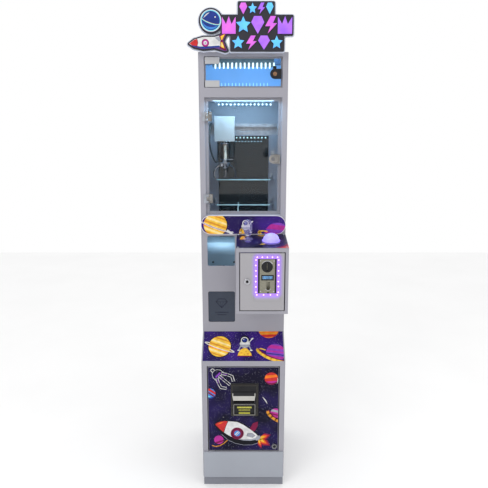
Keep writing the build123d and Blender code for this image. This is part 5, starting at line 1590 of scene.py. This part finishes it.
def shape_faces(bm):
    """A chamfered coloured face on each sign shape."""
    for low, high, pieces in sign_rows:
        for shape, x, width, colour in pieces:
            middle = roof_top + (low + high) / 2
            outline = shape(x, middle, width, high - low)
            cx = sum(p[0] for p in outline) / len(outline)
            cz = sum(p[1] for p in outline) / len(outline)
            rings = []
            for shrink, lift in ((0.4, 0.0), (0.6, 0.8), (1.8, 1.4)):
                ring = []
                for px, pz in outline:
                    reach = math.hypot(px - cx, pz - cz)
                    k = 1 - shrink / max(reach, 6)
                    ring.append(bm.verts.new(((cx + (px - cx) * k) * MM, sign_face - lift * MM,
                                              (cz + (pz - cz) * k) * MM)))
                rings.append(ring)
            for a, b in zip(rings, rings[1:]):
                wall(bm, a, b, colour)
            bm.faces.new(rings[-1]).material_index = colour
            bm.faces.new(rings[0]).material_index = colour


add("sign_shape_faces", shape_faces, "cabinet",
                  sign_pink, sign_cyan, sign_violet, slot="sign_faces")

sign_window = scaled([(-200, -24), (200, -24), (200, 176), (-200, 176)])
sign_print = Print((0, sign_face, roof_top * MM), (1, 0, 0), (0, 0, 1), sign_window)
sign_print.patch("white", [(-188.6, 20), (-171.6, 33), (-140, 42), (-100, 42), (-84, 46), (-78, 30),
                           (-80, 12),
                           (-100, 8), (-140, 4), (-172, 11)], 1)
sign_print.patch("red", [(-187, 20.5), (-172, 32), (-160, 35.4), (-158, 22), (-162, 8.4), (-172, 10.5)], 2)
sign_print.strip("black", [(-160, 35), (-157.5, 22), (-161.5, 8.6)], 1.2, 3)
sign_print.patch("navy", [(-180, 15), (-150, 10.5), (-110, 12), (-84, 14), (-80, 9), (-100, 7), (-140, 3.4),
                          (-172, 10.4)], 3)
for colour, radius, level in (("maroon", 12.8, 4), ("magenta", 10.5, 5), ("white", 6.2, 6)):
    sign_print.area(colour, oval(-0.132, 0.0225, radius * MM), level)
sign_print.area("grey", oval(-0.1315, 0.022, 0.0034), 7)
sign_print.patch("grey", [(-100, 40), (-84, 43), (-78, 30), (-84, 27)], 3)
sign_print.patch("maroon", [(-84, 45), (-67, 52.5), (-60, 52.5), (-72, 30), (-78, 28)], 2)
sign_print.patch("yellow", [(-79, 44), (-68, 49.5), (-64, 50.5), (-73, 33), (-77, 33)], 3)
sign_print.patch("maroon", [(-80, 30), (-71, 29), (-59, -1), (-64, -2.4), (-82, 5), (-80, 14)], 2)
sign_print.patch("yellow", [(-78, 25), (-72, 24), (-65, 4), (-79, 10)], 3)
sign_print.patch("pale", [(-76, 22), (-73, 21), (-69, 9), (-76, 13)], 4)
globe_at = (-0.112, 0.095)
for colour, radius, level in (("white", 36.2, 1), ("cyan", 34.0, 2), ("navy", 31.2, 3)):
    sign_print.area(colour, oval(*globe_at, radius * MM), level)
sign_print.areas("blue", arc_band(*globe_at, 0.0285, 0.0285, 0.0075, 0, 190, 330, 24, True), 4)
sign_print.areas("white", arc_band(*globe_at, 0.0262, 0.0262, 0.0036, 0, 95, 165, 16, True), 5)
sign_print.area("white", oval(-0.097, 0.1065, 0.0026), 5)
sign_print.areas("cyan", arc_band(*globe_at, 0.0355, 0.0105, 0.0028, -18, 180, 360, 26), 6)
sign_print.areas("pale", arc_band(*globe_at, 0.0330, 0.0082, 0.0012, -18, 182, 358, 26), 7)
sign_print.piece("sign_rocket_print", "cabinet", 0.00025, 0.00009, "sign_faces")


def strap_screws(bm):
    for x in (-30, 100):
        for y in (-0.075, -0.057):
            screw_head(bm, (x * MM, y, 1.687), (0, 0, 1), 3.2 * MM)
        for z in (1.72, 1.77):
            screw_head(bm, (x * MM, sign_high.y + 3 * MM, z), (0, 1, 0), 3.0 * MM)


add("sign_strap_screws", strap_screws, "cabinet", zinc, smooth=40)

# ---- Cords of the crane ----
# The twisted hoist string, the claw's curly supply cord, and the trolley's cable that hangs in a
# loop from the gantry's end plate.


def route_points(name, points):
    """Points read along the route's own smooth curve."""
    data = bpy.data.curves.new(name, "CURVE")
    data.dimensions = "3D"
    data.resolution_u = 16
    line = data.splines.new("NURBS")
    line.points.add(len(points) - 1)
    for point, place in zip(line.points, points):
        point.co = (*place, 1)
    line.order_u = 3
    line.use_endpoint_u = True
    carrier = bpy.data.objects.new(name, data)
    scene.collection.objects.link(carrier)
    bpy.context.view_layer.update()
    seen = carrier.evaluated_get(bpy.context.evaluated_depsgraph_get())
    read = bpy.data.meshes.new_from_object(seen)
    path = [v.co.copy() for v in read.vertices]
    bpy.data.meshes.remove(read)
    bpy.data.objects.remove(carrier)
    bpy.data.curves.remove(data)
    return path


def tube_mesh(name, path, radius, sides=10):
    """A closed tube along a path, its section carried along without twist."""
    bm = bmesh.new()
    rings = []
    side = None
    for i, here in enumerate(path):
        ahead = (path[min(i + 1, len(path) - 1)] - path[max(i - 1, 0)]).normalized()
        side = ahead.orthogonal() if side is None else side - ahead * side.dot(ahead)
        side.normalize()
        third = ahead.cross(side)
        turns = [2 * math.pi * k / sides for k in range(sides)]
        rings.append([bm.verts.new(here + (side * math.cos(turn) + third * math.sin(turn)) * radius)
                      for turn in turns])
    for a, b in zip(rings, rings[1:]):
        wall(bm, a, b)
    bm.faces.new(rings[0])
    bm.faces.new(rings[-1])
    mesh = mesh_of(name, bm)
    shade_smooth(mesh, 60)
    return mesh


def cord_piece(name, mesh, material, node):
    """A cord between two moving bodies, as a still object of its own; its machine part is hidden."""
    piece = bpy.data.objects.new(name, mesh)
    scene.collection.objects.link(piece)
    mesh.materials.append(material)
    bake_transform(piece)
    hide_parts(node)
    return piece


cord_black = finish_of("cord_rubber", (0.02, 0.02, 0.022), 0.2, (0.45, 0.6), 1500, 60, 0.0002)
string_dark = finish_of("hoist_string_dark", (0.06, 0.055, 0.05), 0.3, (0.7, 0.85), 2600, 300, 0.0003)

cable_route = [
    (-0.125, 0.018, 1.440), (-0.129, -0.006, 1.432), (-0.131, -0.024, 1.404), (-0.131, -0.032, 1.366),
    (-0.125, -0.035, 1.330), (-0.116, -0.030, 1.304), (-0.108, -0.016, 1.289), (-0.104, 0.004, 1.287),
    (-0.102, 0.020, 1.306), (-0.101, 0.026, 1.336), (-0.101, 0.026, 1.3695),
]
cable_path = route_points("cable_route", cable_route)
cable = cord_piece("trolley_cable_loop", tube_mesh("trolley_cable_loop", cable_path, 3 * MM, 14), cord_black,
                   "trolley_cable")

curl_top = (-0.046, 0.0, 1.395)
curl_foot = (-0.046, 0.0, 1.302)
curl_turns = 15
curl_radius = 6.6 * MM
curl_steps = 12
curl_line = [Vector(curl_top)]
tail = 4 * MM
for i in range(curl_turns * curl_steps + 1):
    turn = 2 * math.pi * i / curl_steps
    share = i / (curl_turns * curl_steps)
    grow = min(1, i / curl_steps, (curl_turns * curl_steps - i) / curl_steps)
    reach = curl_radius * grow * (1 + 0.02 * math.sin(i * 0.37))
    curl_line.append(Vector((curl_top[0] + reach * math.cos(turn), curl_top[1] + reach * math.sin(turn),
                             curl_top[2] - tail - share * (curl_top[2] - curl_foot[2] - 2 * tail))))
curl_line.append(Vector(curl_foot))
curl_path = route_points("curl_route", curl_line)
curl = cord_piece("curly_supply_cord", tube_mesh("curly_supply_cord", curl_path, 1.35 * MM, 8), cord_black,
                  "curly_cord")

string_top = (-0.073, -0.0009, 1.440)
string_foot = (-0.073, -0.0009, 1.374)
string_path = route_points("string_route", [string_top, (-0.073, -0.0009, 1.407), string_foot])


def laid_string(name, path, radius, strands=3, lay_turns=22):
    """Three strands laid round one another along the path."""
    bm = bmesh.new()
    strand_radius = radius * 0.54
    for s in range(strands):
        rings = []
        steps = lay_turns * 8
        for i in range(steps + 1):
            share = i / steps
            place = path[0].lerp(path[-1], share)
            turn = 2 * math.pi * (share * lay_turns + s / strands)
            middle = place + Vector((math.cos(turn), math.sin(turn), 0)) * (radius - strand_radius)
            corners = [Vector((math.cos(k * math.pi / 3), math.sin(k * math.pi / 3), 0)) for k in range(6)]
            rings.append([bm.verts.new(middle + corner * strand_radius) for corner in corners])
        for a, b in zip(rings, rings[1:]):
            wall(bm, a, b)
        bm.faces.new(rings[0])
        bm.faces.new(rings[-1])
    mesh = mesh_of(name, bm)
    shade_smooth(mesh, 180)
    return mesh


string = cord_piece("twisted_hoist_string", laid_string("twisted_hoist_string", string_path, 0.8 * MM),
                    string_dark,
                    "hoist_string")
